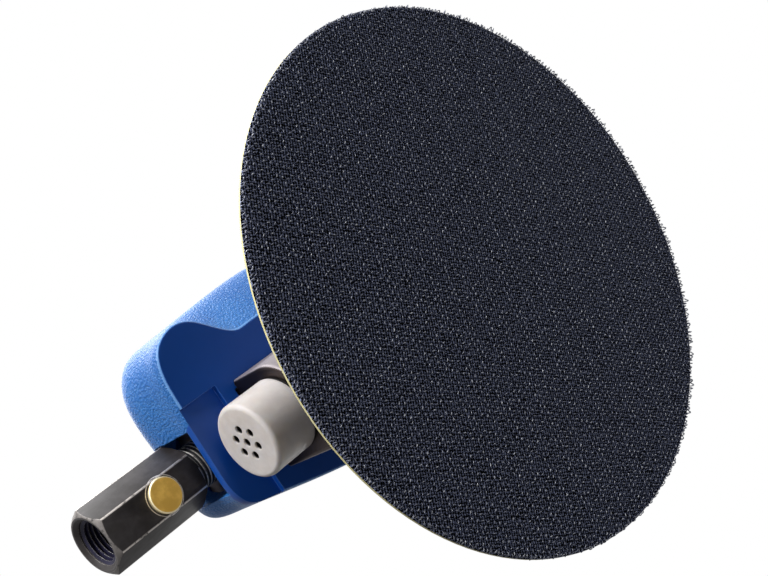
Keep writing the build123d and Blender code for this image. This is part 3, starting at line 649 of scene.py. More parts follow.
@dataclass(frozen=True)
class WovenGround(Finish):
    """Knitted ground between the hooks: loops painted grey as painted sheen over near-black gaps painted as
    shade.
    """

    # Near-black painted as shade in the gaps under the hooks.
    base: Colour = rgb(1, 1, 2)
    # Grey painted on the loops as sheen.
    thread: Colour = rgb(172, 182, 218)
    pitch: float = 1.1 * MM
    turn: float = math.radians(13.5)
    stray: float = 7.0

    def paint(self, s: Shader) -> None:
        """Cross two sets of straying threads, grey on the loops as painted sheen and near-black between them
        as painted shade.

        Args:
            s: Shader to fill.
        """
        k = 2 * math.pi / self.pitch
        stray = s.times(s.minus(s.noise(1300.0, 2.0), 0.5), self.stray)
        node = s.nodes.new("ShaderNodeSeparateXYZ")
        s.put(s.mapped((k, k, k), turn=(0, 0, -self.turn)), node.inputs["Vector"])
        warp = s.math("SINE", s.plus(node.outputs["X"], stray))
        weft = s.math("SINE", s.minus(node.outputs["Y"], stray))
        height = s.plus(s.times(warp, weft), s.times(s.noise(FINE_GRAIN, 3.0, 0.6), 0.6))
        s.set(
            # Painted sheen on the raised loops and painted shade in the gaps.
            base_color=s.mix(s.band(height, 0.25, 0.85), self.base, self.thread),
            roughness=0.8,
            specular_ior_level=0.03,
            normal=s.bump(height, 0.10 * MM, 0.7),
        )


@dataclass(frozen=True)
class Monofilament(Finish):
    """Glossy dark nylon of the hooks, with painted highlights on the crowns of some of them."""

    base: Colour = rgb(82, 88, 114)
    # Colour of the painted highlights on the hooks' crowns.
    pale: Colour = rgb(246, 249, 255)
    crown: Span = (0.34 * MM, 0.02 * MM)
    rough: Span = (0.20, 0.2)

    def paint(self, s: Shader) -> None:
        """Paint highlights on the crowns of some hooks.

        Args:
            s: Shader to fill.
        """
        _, _, z = s.axes()
        # Painted highlight: pale crowns on some hooks stand in for glints off the glossy nylon.
        rubbed = s.times(s.band(z, *self.crown), s.band(s.noise(700.0, 2.0, 0.6), 0.36, 0.74))
        s.set(
            base_color=s.mix(rubbed, self.base, self.pale),
            roughness=s.lifted(*self.rough, s.noise(9000.0, 2.0)),
            specular_ior_level=0.8,
        )


@dataclass(frozen=True)
class CellFoam(Finish):
    """Dense moulded foam or felt with open pores."""

    base: Colour
    # Darker colour painted as shade in the pores.
    pore_shade: Colour
    scale: float = 1500.0

    def paint(self, s: Shader) -> None:
        """Sink the pores below a mottled skin and darken them as painted shade.

        Args:
            s: Shader to fill.
        """
        pores = s.cells(self.scale)
        skin = s.plus(pores, s.times(s.noise(500.0, 4.0, 0.6), 0.3))
        s.set(
            # Painted shade in the pores, with some random mottle.
            base_color=s.mix(s.band(skin, 0.25, 0.6), self.pore_shade, self.base),
            roughness=0.86,
            normal=s.bump(s.band(pores, 0.1, 0.5), 0.16 * MM, 0.8),
        )


@dataclass(frozen=True)
class Moulded(Finish):
    """Dull filled plastic, rubber or paint with a fine grain and rubbed edges."""

    base: Colour
    rubbed: Colour
    grain: float
    depth: float
    gloss: float
    stretch: Point = (1.0, 1.0, 1.0)
    cloud: float = 14.0

    def paint(self, s: Shader) -> None:
        """Cloud the tone, grain the surface and rub the edges.

        Args:
            s: Shader to fill.
        """
        where = s.mapped(self.stretch)
        grain = s.noise(self.grain, 4.0, 0.6, where)
        cloud = s.noise(self.grain / self.cloud, at=where)
        rounded, edge = s.edges(0.4 * MM)
        tone = s.mix(s.times(s.band(cloud, 0.4, 0.75), 0.4), self.base, self.rubbed)
        s.set(
            base_color=s.mix(s.times(edge, 0.6), tone, self.rubbed),
            roughness=s.lifted(self.gloss, 0.25, grain),
            normal=s.bump(grain, self.depth, 0.6, rounded),
        )


STEEL = TurnedMetal(rgb(190, 192, 196), rgb(150, 152, 158), rgb(232, 233, 236))
BORE_STEEL = TurnedMetal(rgb(176, 178, 184), rgb(132, 135, 142), rgb(225, 227, 230), rings=5200.0, gloss=0.3)
SPRING = TurnedMetal(rgb(120, 122, 130), rgb(84, 84, 96), rgb(190, 192, 198), gloss=0.28)
VALVE_BRASS = TurnedMetal(
    rgb(206, 168, 84), rgb(160, 122, 52), rgb(240, 212, 140), centre=(-27 * MM, 0.0, 0.0)
)
REGULATOR_BRASS = TurnedMetal(
    rgb(252, 212, 112), rgb(232, 188, 92), rgb(255, 246, 212),
    centre=(-77.9 * MM, 0.0, 0.0), rings=7000.0, gloss=0.46, mottle=190.0, rim_highlight_radius=4.78 * MM,
)
SCREEN_BRASS = TurnedMetal(
    rgb(196, 160, 84), rgb(146, 114, 56), rgb(236, 210, 150), centre=(0.0, 0.0, 73.6 * MM), axis=Axis.X
)
FILM = Moulded(rgb(255, 244, 178), rgb(255, 250, 206), 1800.0, 0.02 * MM, 0.4)
PLATE = Moulded(rgb(34, 35, 37), rgb(66, 67, 70), 1900.0, 0.05 * MM, 0.42)
LEVER = Moulded(rgb(27, 28, 31), rgb(78, 80, 84), 1500.0, 0.07 * MM, 0.36)
SEAL = Moulded(rgb(20, 20, 21), rgb(46, 46, 48), 3600.0, 0.02 * MM, 0.5)
VANE = Moulded(rgb(112, 72, 38), rgb(168, 118, 66), 2600.0, 0.03 * MM, 0.5, stretch=(1.0, 1.0, 0.12))
FELT = CellFoam(rgb(104, 98, 88), rgb(58, 54, 48), 2600.0)
FOAM = CellFoam(rgb(40, 41, 44), rgb(12, 12, 14))

BEARING_NODES = tuple(
    f"{bearing}_bearing_{part}"
    for bearing in ("lower", "upper", "spindle")
    for part in ("outer", "inner", "balls")
)
GROUND_NODES = (
    "balancer_shaft", "pad_spindle", "pad_stud", "lever_pin", "liner_dowel", "shell_screws", "rotor_key",
)
BORED_NODES = ("cylinder_liner", "lower_end_plate", "upper_end_plate", "lock_ring", "rotor")
NODE_FINISHES: tuple[tuple[str, Finish, tuple[str, ...]], ...] = (
    ("blue_leather_grain", GrainedPlastic(), ("grip_shell",)),
    ("blasted_casting", CastMetal(), ("motor_casting",)),
    ("grey_satin", SatinMoulding(), ("muffler_body",)),
    ("regulator_brass", REGULATOR_BRASS, ("regulator_spindle",)),
    ("valve_brass", VALVE_BRASS, ("valve_stem", "valve_seat", "valve_guide")),
    ("screen_brass", SCREEN_BRASS, ("inlet_screen",)),
    ("bond_film", FILM, ("pad_film",)),
    ("plate_nylon", PLATE, ("pad_backing_plate",)),
    ("lever_black", LEVER, ("throttle_lever",)),
    ("seal_rubber", SEAL, ("guide_seal", "valve_seal", "regulator_seals", "muffler_gasket")),
    ("vane_laminate", VANE, ("rotor_vanes",)),
    ("ground_steel", STEEL, GROUND_NODES + BEARING_NODES),
    ("bored_steel", BORE_STEEL, BORED_NODES),
    ("spring_steel", SPRING, ("spindle_clip", "bearing_clip", "regulator_clip", "preload_washer")),
)


def deselect() -> None:
    """Deselect every object."""
    bpy.ops.object.select_all(action="DESELECT")


def focus(piece: bpy.types.Object) -> None:
    """Select one piece alone and make it the active one.

    Args:
        piece: The piece.
    """
    deselect()
    piece.select_set(True)
    bpy.context.view_layer.objects.active = piece


def edit() -> None:
    """Enter edit mode with the whole mesh selected."""
    bpy.ops.object.mode_set(mode="EDIT")
    bpy.ops.mesh.select_all(action="SELECT")


def leave() -> None:
    """Merge doubles, point the faces outwards and leave edit mode."""
    bpy.ops.mesh.select_all(action="SELECT")
    bpy.ops.mesh.remove_doubles(threshold=MERGE_WITHIN)
    bpy.ops.mesh.normals_make_consistent(inside=False)
    bpy.ops.object.mode_set(mode="OBJECT")


def smooth(degrees: float) -> None:
    """Shade the selected piece smooth, apart from edges sharper than an angle."""
    bpy.ops.object.shade_smooth_by_angle(angle=math.radians(degrees))


def settle(piece: bpy.types.Object, name: str, axis: Axis, at: Point) -> None:
    """Name a new piece, turn it onto its axis, move it and put its place in its mesh.

    Args:
        piece: Piece modelled about Z at the origin.
        name: Piece name.
        axis: Axis that the piece lies along.
        at: Place in metres.
    """
    piece.name = piece.data.name = name
    focus(piece)
    piece.rotation_euler = axis.value
    piece.location = at
    bpy.ops.object.transform_apply(location=True, rotation=True, scale=True)


def turned(
    name: str, rings: Sequence[Span], axis: Axis, at: Point, steps: int = 96, capped: bool = False
) -> bpy.types.Object:
    """Turn a profile by extruding a circle from ring to ring.

    Args:
        name: Piece name.
        rings: Radius and height of each ring in metres; the last may repeat the first.
        axis: Axis that the piece lies along.
        at: Place in metres.
        steps: Corners of the circle.
        capped: Whether the first and last rings are closed by a face.

    Returns:
        The turned piece.
    """
    deselect()
    radius, height = rings[0]
    fill = "NGON" if capped else "NOTHING"
    bpy.ops.mesh.primitive_circle_add(vertices=steps, radius=radius, fill_type=fill, location=(0, 0, height))
    piece = bpy.context.object
    bpy.ops.object.transform_apply(location=True)
    edit()
    for next_radius, next_height in rings[1:]:
        rise = {"value": (0, 0, next_height - height)}
        if capped:
            bpy.ops.mesh.extrude_region_move(TRANSFORM_OT_translate=rise)
        else:
            bpy.ops.mesh.extrude_edges_move(TRANSFORM_OT_translate=rise)
        grow = next_radius / radius
        bpy.ops.transform.resize(value=(grow, grow, 1.0), center_override=(0, 0, next_height))
        radius, height = next_radius, next_height
    leave()
    settle(piece, name, axis, at)
    smooth(32)
    return piece


def helix(
    name: str, section: Sequence[Span], pitch: float, turns: int, axis: Axis, at: Point,
    steps: int = 64, share: float = 1.0,
) -> bpy.types.Object:
    """Sweep a closed section round an axis as a thread or a coil.

    Args:
        name: Piece name.
        section: Radius and height of the section's corners in metres.
        pitch: Rise of one turn in metres.
        turns: Number of sweeps.
        axis: Axis that the helix lies along.
        at: Place of its start in metres.
        steps: Steps of one sweep.
        share: Share of a turn that one sweep takes.

    Returns:
        The closed helix.
    """
    deselect()
    bpy.ops.mesh.primitive_circle_add(vertices=len(section), radius=MM, fill_type="NOTHING")
    piece = bpy.context.object
    for corner, (radius, height) in zip(piece.data.vertices, section):
        corner.co = (radius, 0.0, height)
    screw = piece.modifiers.new("sweep", "SCREW")
    screw.axis = "Z"
    screw.angle = 2 * math.pi * share
    screw.screw_offset = pitch * share
    screw.iterations = turns
    screw.steps = screw.render_steps = steps
    screw.use_smooth_shade = True
    bpy.ops.object.modifier_apply(modifier=screw.name)
    edit()
    bpy.ops.mesh.select_all(action="DESELECT")
    bpy.ops.mesh.select_non_manifold(extend=False)
    bpy.ops.mesh.edge_face_add()
    leave()
    settle(piece, name, axis, at)
    smooth(40)
    return piece


def cut(piece: bpy.types.Object, tool: bpy.types.Object, kind: str) -> None:
    """Apply a boolean with a tool and delete the tool.

    Args:
        piece: Piece that is cut.
        tool: Shape that cuts it.
        kind: Operation of the boolean.
    """
    focus(piece)
    step = piece.modifiers.new("cut", "BOOLEAN")
    step.operation = kind
    step.solver = "EXACT"
    step.object = tool
    bpy.ops.object.modifier_apply(modifier=step.name)
    bpy.data.objects.remove(tool)


def break_edges(piece: bpy.types.Object, width: float, segments: int) -> None:
    """Round the sharp edges of a piece by an applied bevel.

    Args:
        piece: Piece to round.
        width: Width of the rounding in metres.
        segments: Faces across the rounding.
    """
    focus(piece)
    step = piece.modifiers.new("edges", "BEVEL")
    step.width = width
    step.segments = segments
    step.limit_method = "ANGLE"
    step.angle_limit = math.radians(28)
    bpy.ops.object.modifier_apply(modifier=step.name)
    smooth(30)


def wear(piece: bpy.types.Object, material: bpy.types.Material, body: Body, slot: str, *nodes: str) -> None:
    """Dress a new piece, ride it on a body and hide the CAD nodes that it replaces.

    Args:
        piece: The finished piece.
        material: Its material.
        body: Body that it moves with.
        slot: Material slot of the record. Not used.
        nodes: CAD nodes that it replaces.
    """
    piece.data.materials.clear()
    piece.data.materials.append(material)
    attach(piece, body.value)
    if nodes:
        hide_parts(*nodes)
    log.info("piece %s: %d faces", piece.name, len(piece.data.polygons))


@dataclass
class HookPad:
    """Foam pad with its hook tape: crowned foam, woven ground and some thousands of hooks."""

    radius: float = 75.0 * MM
    ground_bottom: float = 0.82 * MM
    ground_top: float = 1.2 * MM
    ground_band: float = 6.0 * MM
    rim_roll: tuple[Span, ...] = ((0.35 * MM, 0.0), (0.12 * MM, 0.05 * MM), (0.0, 0.16 * MM))
    foam_bottom: float = 1.8 * MM
    foam_top: float = 11.0 * MM
    foam_radius: float = 74.7 * MM
    foam_top_radius: float = 62.5 * MM
    foam_core: float = 20.0 * MM
    foot_lip: Span = (0.4 * MM, 0.15 * MM)
    top_lip: Span = (0.6 * MM, 0.45 * MM)
    top_swell: float = 0.1 * MM
    flank_end: float = 0.5 * MM
    flank_steps: int = 9
    crown: float = 0.35 * MM
    along: Span = (-0.340 * MM, 1.520 * MM)
    across: Span = (1.650 * MM, -0.385 * MM)
    reach: int = 110
    inset: float = 0.45 * MM
    rim_inset: float = 0.5 * MM
    rim_hooks: int = 420
    thread: float = 0.155 * MM
    arch: tuple[Span, ...] = (
        (0.0, -0.06), (0.02, 0.32), (0.15, 0.58), (0.40, 0.68), (0.66, 0.58), (0.78, 0.34)
    )
    stub: tuple[Span, ...] = ((1.02, -0.06), (0.98, 0.22), (0.93, 0.36))
    middle: float = 0.5 * MM
    jitter: float = 0.11 * MM
    zigzag: float = 0.5
    stray_turn: float = 0.2
    stray_lean: float = 0.12
    stray_height: float = 0.09
    height_limits: Span = (0.75, 1.08)
    rim_band: float = 1.6 * MM
    splay: Span = (0.2, 1.3)
    splay_front: float = 0.35
    splay_growth: float = 0.25
    parts: int = 4
    seed: int = 7
    centre: Vector = field(default_factory=lambda: sum(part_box("hook_face"), Vector()) / 2)

    def build(self) -> None:
        """Build and dress the foam, the ground and the hooks."""
        at = (self.centre.x, self.centre.y, 0.0)
        foam = self.foam(at)
        wear(foam, FOAM.make("pad_foam_cells"), Body.PAD, "foam", "pad_foam")
        ground = self.ground(at)
        wear(ground, WovenGround().make("hook_ground"), Body.PAD, "hook_fabric", "hook_face")
        nylon = Monofilament().make("hook_nylon")
        hooks = self.hooks()
        for piece in hooks:
            wear(piece, nylon, Body.PAD, "hook_fabric")

    def foam(self, at: Point) -> bpy.types.Object:
        """Turn the foam with a crowned flank and soft lips.

        Args:
            at: Place of the pad's middle in metres.

        Returns:
            The foam.
        """
        low, high = self.foam_bottom, self.foam_top
        wide, narrow = self.foam_radius, self.foam_top_radius
        foot = low + self.foot_lip[1]
        rise = high - self.flank_end - foot
        rings = [(self.foam_core, low), (wide - self.foot_lip[0], low), (wide, foot)]
        for step in range(1, self.flank_steps):
            share = step / self.flank_steps
            swell = self.crown * math.sin(math.pi * share)
            rings.append((wide - (wide - narrow) * share + swell, foot + rise * share))
        rings += [
            (narrow + self.top_swell, high - self.top_lip[1]), (narrow - self.top_lip[0], high),
            (self.foam_core, high),
        ]
        return turned("foam_pad", rings, Axis.Z, at, steps=160, capped=True)

    def ground(self, at: Point) -> bpy.types.Object:
        """Turn the woven ground sheet with a rolled rim.

        Args:
            at: Place of the pad's middle in metres.

        Returns:
            The ground sheet.
        """
        low, high, inner = self.ground_bottom, self.ground_top, self.radius - self.ground_band
        rim = [(self.radius - back, low + lift) for back, lift in self.rim_roll]
        rings = [(inner, low), *rim, (self.radius, high), (inner, high)]
        return turned("hook_ground_sheet", rings, Axis.Z, at, steps=192, capped=True)

    def hook(self) -> tuple[np.ndarray, Faces]:
        """Model one hook as a bent thread with its cut stub.

        Returns:
            Its vertices in metres and its faces.
        """
        deselect()
        bpy.ops.curve.primitive_nurbs_path_add()
        curve = bpy.context.object
        curve.data.splines.clear()
        for bend in (self.arch, self.stub):
            line = curve.data.splines.new("POLY")
            line.points.add(len(bend) - 1)
            for knot, (x, z) in zip(line.points, bend):
                knot.co = (x * MM, 0.0, z * MM, 1.0)
        curve.data.bevel_depth = self.thread
        curve.data.bevel_resolution = 0
        curve.data.use_fill_caps = True
        bpy.ops.object.convert(target="MESH")
        mesh = bpy.context.object.data
        points = np.array([v.co for v in mesh.vertices], float)
        faces = [tuple(p.vertices) for p in mesh.polygons]
        bpy.data.objects.remove(bpy.context.object)
        return points, faces

    def feet(self) -> tuple[np.ndarray, np.ndarray]:
        """Lay out the hooks' feet on the face's lattice and round its rim.

        Returns:
            Each foot's place from the middle in metres, and its row.
        """
        count = np.arange(-self.reach, self.reach + 1)
        rows, steps = np.meshgrid(count, count, indexing="ij")
        spots = rows.reshape(-1, 1) * np.array(self.across) + steps.reshape(-1, 1) * np.array(self.along)
        inside = np.hypot(spots[:, 0], spots[:, 1]) < self.radius - self.inset
        turn = np.arange(self.rim_hooks) * (2 * math.pi / self.rim_hooks)
        rim = (self.radius - self.rim_inset) * np.stack([np.cos(turn), np.sin(turn)], 1)
        rows = np.concatenate([rows.ravel()[inside], np.arange(self.rim_hooks)])
        return np.concatenate([spots[inside], rim]), rows

    def hooks(self) -> list[bpy.types.Object]:
        """Copy the hook onto every foot, leaning row by row and splayed at the rim, in a few pieces.

        Returns:
            The pieces.
        """
        points, faces = self.hook()
        draw = np.random.default_rng(self.seed)
        spots, rows = self.feet()
        count = len(spots)
        spots = spots + draw.normal(0.0, self.jitter, (count, 2))
        row_turn = np.where((rows // 2) % 2 == 0, -self.zigzag, self.zigzag)
        heading = math.atan2(self.across[1], self.across[0]) + row_turn
        heading = heading + draw.normal(0.0, self.stray_turn, count)
        tall = np.clip(draw.normal(1.0, self.stray_height, count), *self.height_limits)
        lean = draw.normal(0.0, self.stray_lean, (count, 2))
        out = np.hypot(spots[:, 0], spots[:, 1])
        rim = np.clip((out - (self.radius - self.rim_band)) / self.rim_band, 0.0, 1.0)
        outward = spots / np.maximum(out, MM)[:, None]
        front = np.clip(outward[:, 0] + self.splay_front, 0.0, 1.0)
        splay = rim * front * draw.uniform(*self.splay, count)
        tall = tall * (1.0 + self.splay_growth * splay)
        lean = lean + outward * splay[:, None]
        x = points[None, :, 0] - self.middle
        y = -points[None, :, 1]
        z = points[None, :, 2] * tall[:, None]
        c, s = np.cos(heading)[:, None], np.sin(heading)[:, None]
        put = np.stack(
            [
                self.centre.x + spots[:, :1] + x * c - y * s + lean[:, :1] * z,
                self.centre.y + spots[:, 1:] + x * s + y * c + lean[:, 1:] * z,
                self.ground_bottom - z,
            ],
            -1,
        )
        round_share = np.arctan2(spots[:, 1], spots[:, 0]) / (2 * math.pi) + 0.5
        sector = np.clip(np.floor(round_share * self.parts).astype(int), 0, self.parts - 1)
        return [self.joined(f"hooks_{i + 1}", put[sector == i], faces) for i in range(self.parts)]

    def joined(self, name: str, places: np.ndarray, faces: Faces) -> bpy.types.Object:
        """Join placed copies of the hook into one piece.

        Args:
            name: Piece name.
            places: Vertices of each copy.
            faces: Faces of one copy.

        Returns:
            The joined piece.
        """
        count, size = places.shape[:2]
        mesh = bpy.data.meshes.new(name)
        all_faces = [tuple(v + i * size for v in face) for i in range(count) for face in faces]
        mesh.from_pydata(places.reshape(-1, 3).tolist(), [], all_faces)
        mesh.update()
        piece = bpy.data.objects.new(name, mesh)
        bpy.context.scene.collection.objects.link(piece)
        focus(piece)
        bpy.ops.object.shade_smooth()
        return piece


@dataclass
class InletBushing:
    """Hexagon air inlet: chamfered body, tapped mouth and threaded neck."""

    z: float = 73.6 * MM
    flat: float = 17.0 * MM
    mouth: float = field(default_factory=lambda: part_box("inlet_bushing")[0].x)
    rear: float = -65.2 * MM
    edge_round: float = 0.3 * MM
    edge_break: float = 0.10 * MM
    mouth_turn: Span = (0.35 * MM, 1.4 * MM)
    rear_turn: Span = (0.2 * MM, 1.0 * MM)
    clear: float = 0.2 * MM
    bore: float = 6.62 * MM
    sink: float = 7.6 * MM
    crest: float = 5.75 * MM
    bore_depth: float = 13.0 * MM
    screen: float = 4.8 * MM
    screen_depth: float = 1.3 * MM
    duct: float = 3.4 * MM
    neck: float = 6.45 * MM
    neck_root: float = 5.75 * MM
    neck_start: float = -65.7 * MM
    neck_end: float = -46.0 * MM
    pitch: float = 1.337 * MM
    root_share: float = 0.46
    crest_half: float = 0.10 * MM
    mouth_turns: int = 8
    mouth_run_in: float = 1.3 * MM
    mouth_bite: float = 0.02 * MM
    neck_turns: int = 12
    neck_run_in: float = 1.2 * MM
    neck_bite: float = 0.05 * MM
    regulator: float = -77.9 * MM
    regulator_bore: float = 3.95 * MM

    def build(self) -> None:
        """Build and dress the body, the mouth's thread and the neck."""
        steel = BlackOxide()
        # The mouth thread's dark blue-violet tone is painted shade with a painted blue reflection inside the
        # bore. Its bright crests are wear and painted glints.
        tapped = BlackOxide(rgb(42, 40, 68), rgb(21, 19, 42), rgb(200, 196, 190), wear=0.2 * MM)
        # The neck thread's crests are painted bright as highlight, through its corner radius.
        cut_thread = BlackOxide(
            rgb(56, 55, 60), rgb(26, 26, 30), rgb(236, 232, 226), wear=0.2 * MM, corner=self.neck + 0.04 * MM
        )
        wear(self.body(), steel.make("black_oxide"), Body.HOUSING, "black_oxide", "inlet_bushing")
        wear(self.mouth_thread(), tapped.make("tapped_steel_painted_shade"), Body.HOUSING, "black_oxide")
        wear(self.neck_thread(), cut_thread.make("thread_steel"), Body.HOUSING, "black_oxide")

    def hexagon(self, corner: float, length: float) -> bpy.types.Object:
        """Model the hexagon bar with rounded long edges.

        Args:
            corner: Radius over the corners in metres.
            length: Length in metres.

        Returns:
            The bar along Z, with a corner towards +Y.
        """
        deselect()
        bpy.ops.mesh.primitive_cylinder_add(
            vertices=6, radius=corner, depth=length, location=(0, 0, length / 2)
        )
        piece = bpy.context.object
        bpy.ops.object.transform_apply(location=True)
        edit()
        bpy.ops.mesh.select_all(action="DESELECT")
        bpy.ops.object.mode_set(mode="OBJECT")
        for edge in piece.data.edges:
            a, b = (piece.data.vertices[i].co for i in edge.vertices)
            edge.select = abs(a.z - b.z) > length / 2
        bpy.ops.object.mode_set(mode="EDIT")
        bpy.ops.mesh.select_mode(type="EDGE")
        bpy.ops.mesh.bevel(offset=self.edge_round, segments=3)
        bpy.ops.mesh.select_mode(type="VERT")
        leave()
        return piece

    def body(self) -> bpy.types.Object:
        """Turn the hexagon's ends and cut its bores.

        Returns:
            The body.
        """
        length = self.rear - self.mouth
        half, corner = self.flat / 2, self.flat / math.sqrt(3)
        here = (self.mouth, 0, self.z)
        piece = self.hexagon(corner, length)
        settle(piece, "bushing_body", Axis.X, here)
        shape = [
            (half - self.mouth_turn[0], 0.0), (corner + self.clear, self.mouth_turn[1]),
            (corner + self.clear, length - self.rear_turn[1]), (half - self.rear_turn[0], length),
        ]
        cut(piece, turned("turning", shape, Axis.X, here, steps=128, capped=True), "INTERSECT")
        floor, duct_start = self.bore_depth, self.bore_depth + self.screen_depth
        hollow = [
            (self.sink + MM, -MM), (self.bore, self.sink - self.bore), (self.bore, floor),
            (self.screen, floor), (self.screen, duct_start),
            (self.duct, duct_start), (self.duct, length + MM),
        ]
        cut(piece, turned("drill", hollow, Axis.X, here, capped=True), "DIFFERENCE")
        cross = [(self.regulator_bore, 0.0), (self.regulator_bore, 2 * self.flat)]
        below = (self.regulator, 0, self.z - self.flat)
        cut(piece, turned("cross_drill", cross, Axis.Z, below, steps=64, capped=True), "DIFFERENCE")
        break_edges(piece, self.edge_break, 2)
        return piece

    def tooth(self, root: float, crest: float, side: Thread) -> list[Span]:
        """Give the section of a thread's ridge.

        Args:
            root: Radius at the ridge's foot in metres.
            crest: Radius at its crest in metres.
            side: Whether the thread is an inner or an outer one.

        Returns:
            Radius and height of the section's corners.
        """
        half, flat = side.value * self.pitch * self.root_share, side.value * self.crest_half
        return [(root, -half), (crest, -flat), (crest, flat), (root, half)]

    def mouth_thread(self) -> bpy.types.Object:
        """Sweep the mouth's inner thread.

        Returns:
            The thread.
        """
        tooth = self.tooth(self.bore + self.mouth_bite, self.crest, Thread.INNER)
        start = (self.mouth + self.mouth_run_in, 0, self.z)
        return helix("mouth_thread", tooth, self.pitch, self.mouth_turns, Axis.X, start)

    def neck_thread(self) -> bpy.types.Object:
        """Turn the neck's core and sweep its outer thread.

        Returns:
            The core and the thread as one piece.
        """
        root, length = self.neck_root, self.neck_end - self.neck_start
        pipe = [(self.duct, 0.0), (root, 0.0), (root, length), (self.duct, length), (self.duct, 0.0)]
        core = turned("neck_core", pipe, Axis.X, (self.neck_start, 0, self.z), steps=72)
        tooth = self.tooth(root - self.neck_bite, self.neck, Thread.OUTER)
        start = (self.rear + self.neck_run_in, 0, self.z)
        thread = helix("neck_thread", tooth, self.pitch, self.neck_turns, Axis.X, start)
        focus(thread)
        core.select_set(True)
        bpy.ops.object.join()
        return thread


@dataclass
class FeltRings:
    """Soft felt pieces: muffler packing and dust washer."""

    packing_bore: float = 2.4 * MM
    washer_bore: float = 4.35 * MM
    soft: float = 0.25 * MM
    crown: float = 0.05 * MM

    def build(self) -> None:
        """Build and dress the two felt rings."""
        felt = FELT.make("felt_fibre")
        low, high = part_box("muffler_felt")
        at = (low.x, 0.0, (low.z + high.z) / 2)
        radii = (self.packing_bore, (high.z - low.z) / 2)
        packing = self.ring("muffler_packing", radii, high.x - low.x, Axis.X, at)
        wear(packing, felt, Body.HOUSING, "felt", "muffler_felt")
        low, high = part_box("dust_washer")
        at = ((low.x + high.x) / 2, (low.y + high.y) / 2, low.z)
        radii = (self.washer_bore, (high.x - low.x) / 2)
        washer = self.ring("felt_washer", radii, high.z - low.z, Axis.Z, at)
        wear(washer, felt, Body.PAD, "felt", "dust_washer")

    def ring(self, name: str, radii: Span, height: float, axis: Axis, at: Point) -> bpy.types.Object:
        """Turn a ring with a slightly crowned outside and soft corners.

        Args:
            name: Piece name.
            radii: Inner and outer radius in metres.
            height: Height in metres.
            axis: Axis that the ring lies along.
            at: Place of its foot in metres.

        Returns:
            The ring.
        """
        inner, outer = radii
        soft, flank = self.soft, outer - self.crown
        rings = [
            (inner, soft), (inner + soft, 0.0), (outer - soft, 0.0), (flank, soft), (outer, height / 2),
            (flank, height - soft), (outer - soft, height), (inner + soft, height), (inner, height - soft),
            (inner, soft),
        ]
        return turned(name, rings, axis, at)


@dataclass
class ValveSpring:
    """Coil spring under the throttle valve, which shortens as the valve opens."""

    wire: float = 0.4 * MM
    half_turns: int = 9
    steps: int = 24
    corners: int = 8
    travel: float = 1.5 * MM

    def build(self) -> None:
        """Build and dress the coil on its own copy of the mesh."""
        low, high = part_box("valve_spring")
        middle = (low + high) / 2
        length = high.z - low.z
        spring = self.coil((high.x - low.x) / 2 - self.wire, length, (middle.x, middle.y, low.z + self.wire))
        wear(spring, SPRING.make("coil_steel"), Body.HOUSING, "spring_steel", "valve_spring")
        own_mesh(spring)

    def coil(self, radius: float, length: float, at: Point) -> bpy.types.Object:
        """Sweep the round wire up the coil, half a turn at a time.

        Args:
            radius: Radius at the middle of the wire in metres.
            length: Length over both ends in metres.
            at: Place of the wire's start in metres.

        Returns:
            The coil.
        """
        turns = [2 * math.pi / self.corners * i for i in range(self.corners)]
        section = [(radius + self.wire * math.cos(turn), self.wire * math.sin(turn)) for turn in turns]
        pitch = 2 * (length - 2 * self.wire) / self.half_turns
        return helix("spring_coil", section, pitch, self.half_turns, Axis.Z, at, self.steps, share=0.5)


def dress_nodes() -> None:
    """Give every CAD node that stays in view its finish."""
    for name, finish, nodes in NODE_FINISHES:
        material = finish.make(name)
        for node in nodes:
            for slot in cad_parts[node].material_slots:
                slot.material = material
        log.info("finish %s on %s", name, ", ".join(nodes))


@dataclass
class Lamp:
    """One soft area light aimed at the object."""

    name: str
    towards: Point
    distance: float
    size: float
    power: float

    def build(self, aim: Vector) -> None:
        """Place the lamp out along its direction, facing the object.

        Args:
            aim: Point that it faces in metres.
        """
        light = bpy.data.lights.new(self.name, "AREA")
        light.shape = "DISK"
        light.size = self.size
        light.energy = self.power
        lamp = bpy.data.objects.new(self.name, light)
        direction = Vector(self.towards).normalized()
        lamp.location = aim + direction * self.distance
        lamp.rotation_mode = "QUATERNION"
        lamp.rotation_quaternion = (-direction).to_track_quat("-Z", "Y")
        lamp.visible_camera = False
        bpy.context.scene.collection.objects.link(lamp)


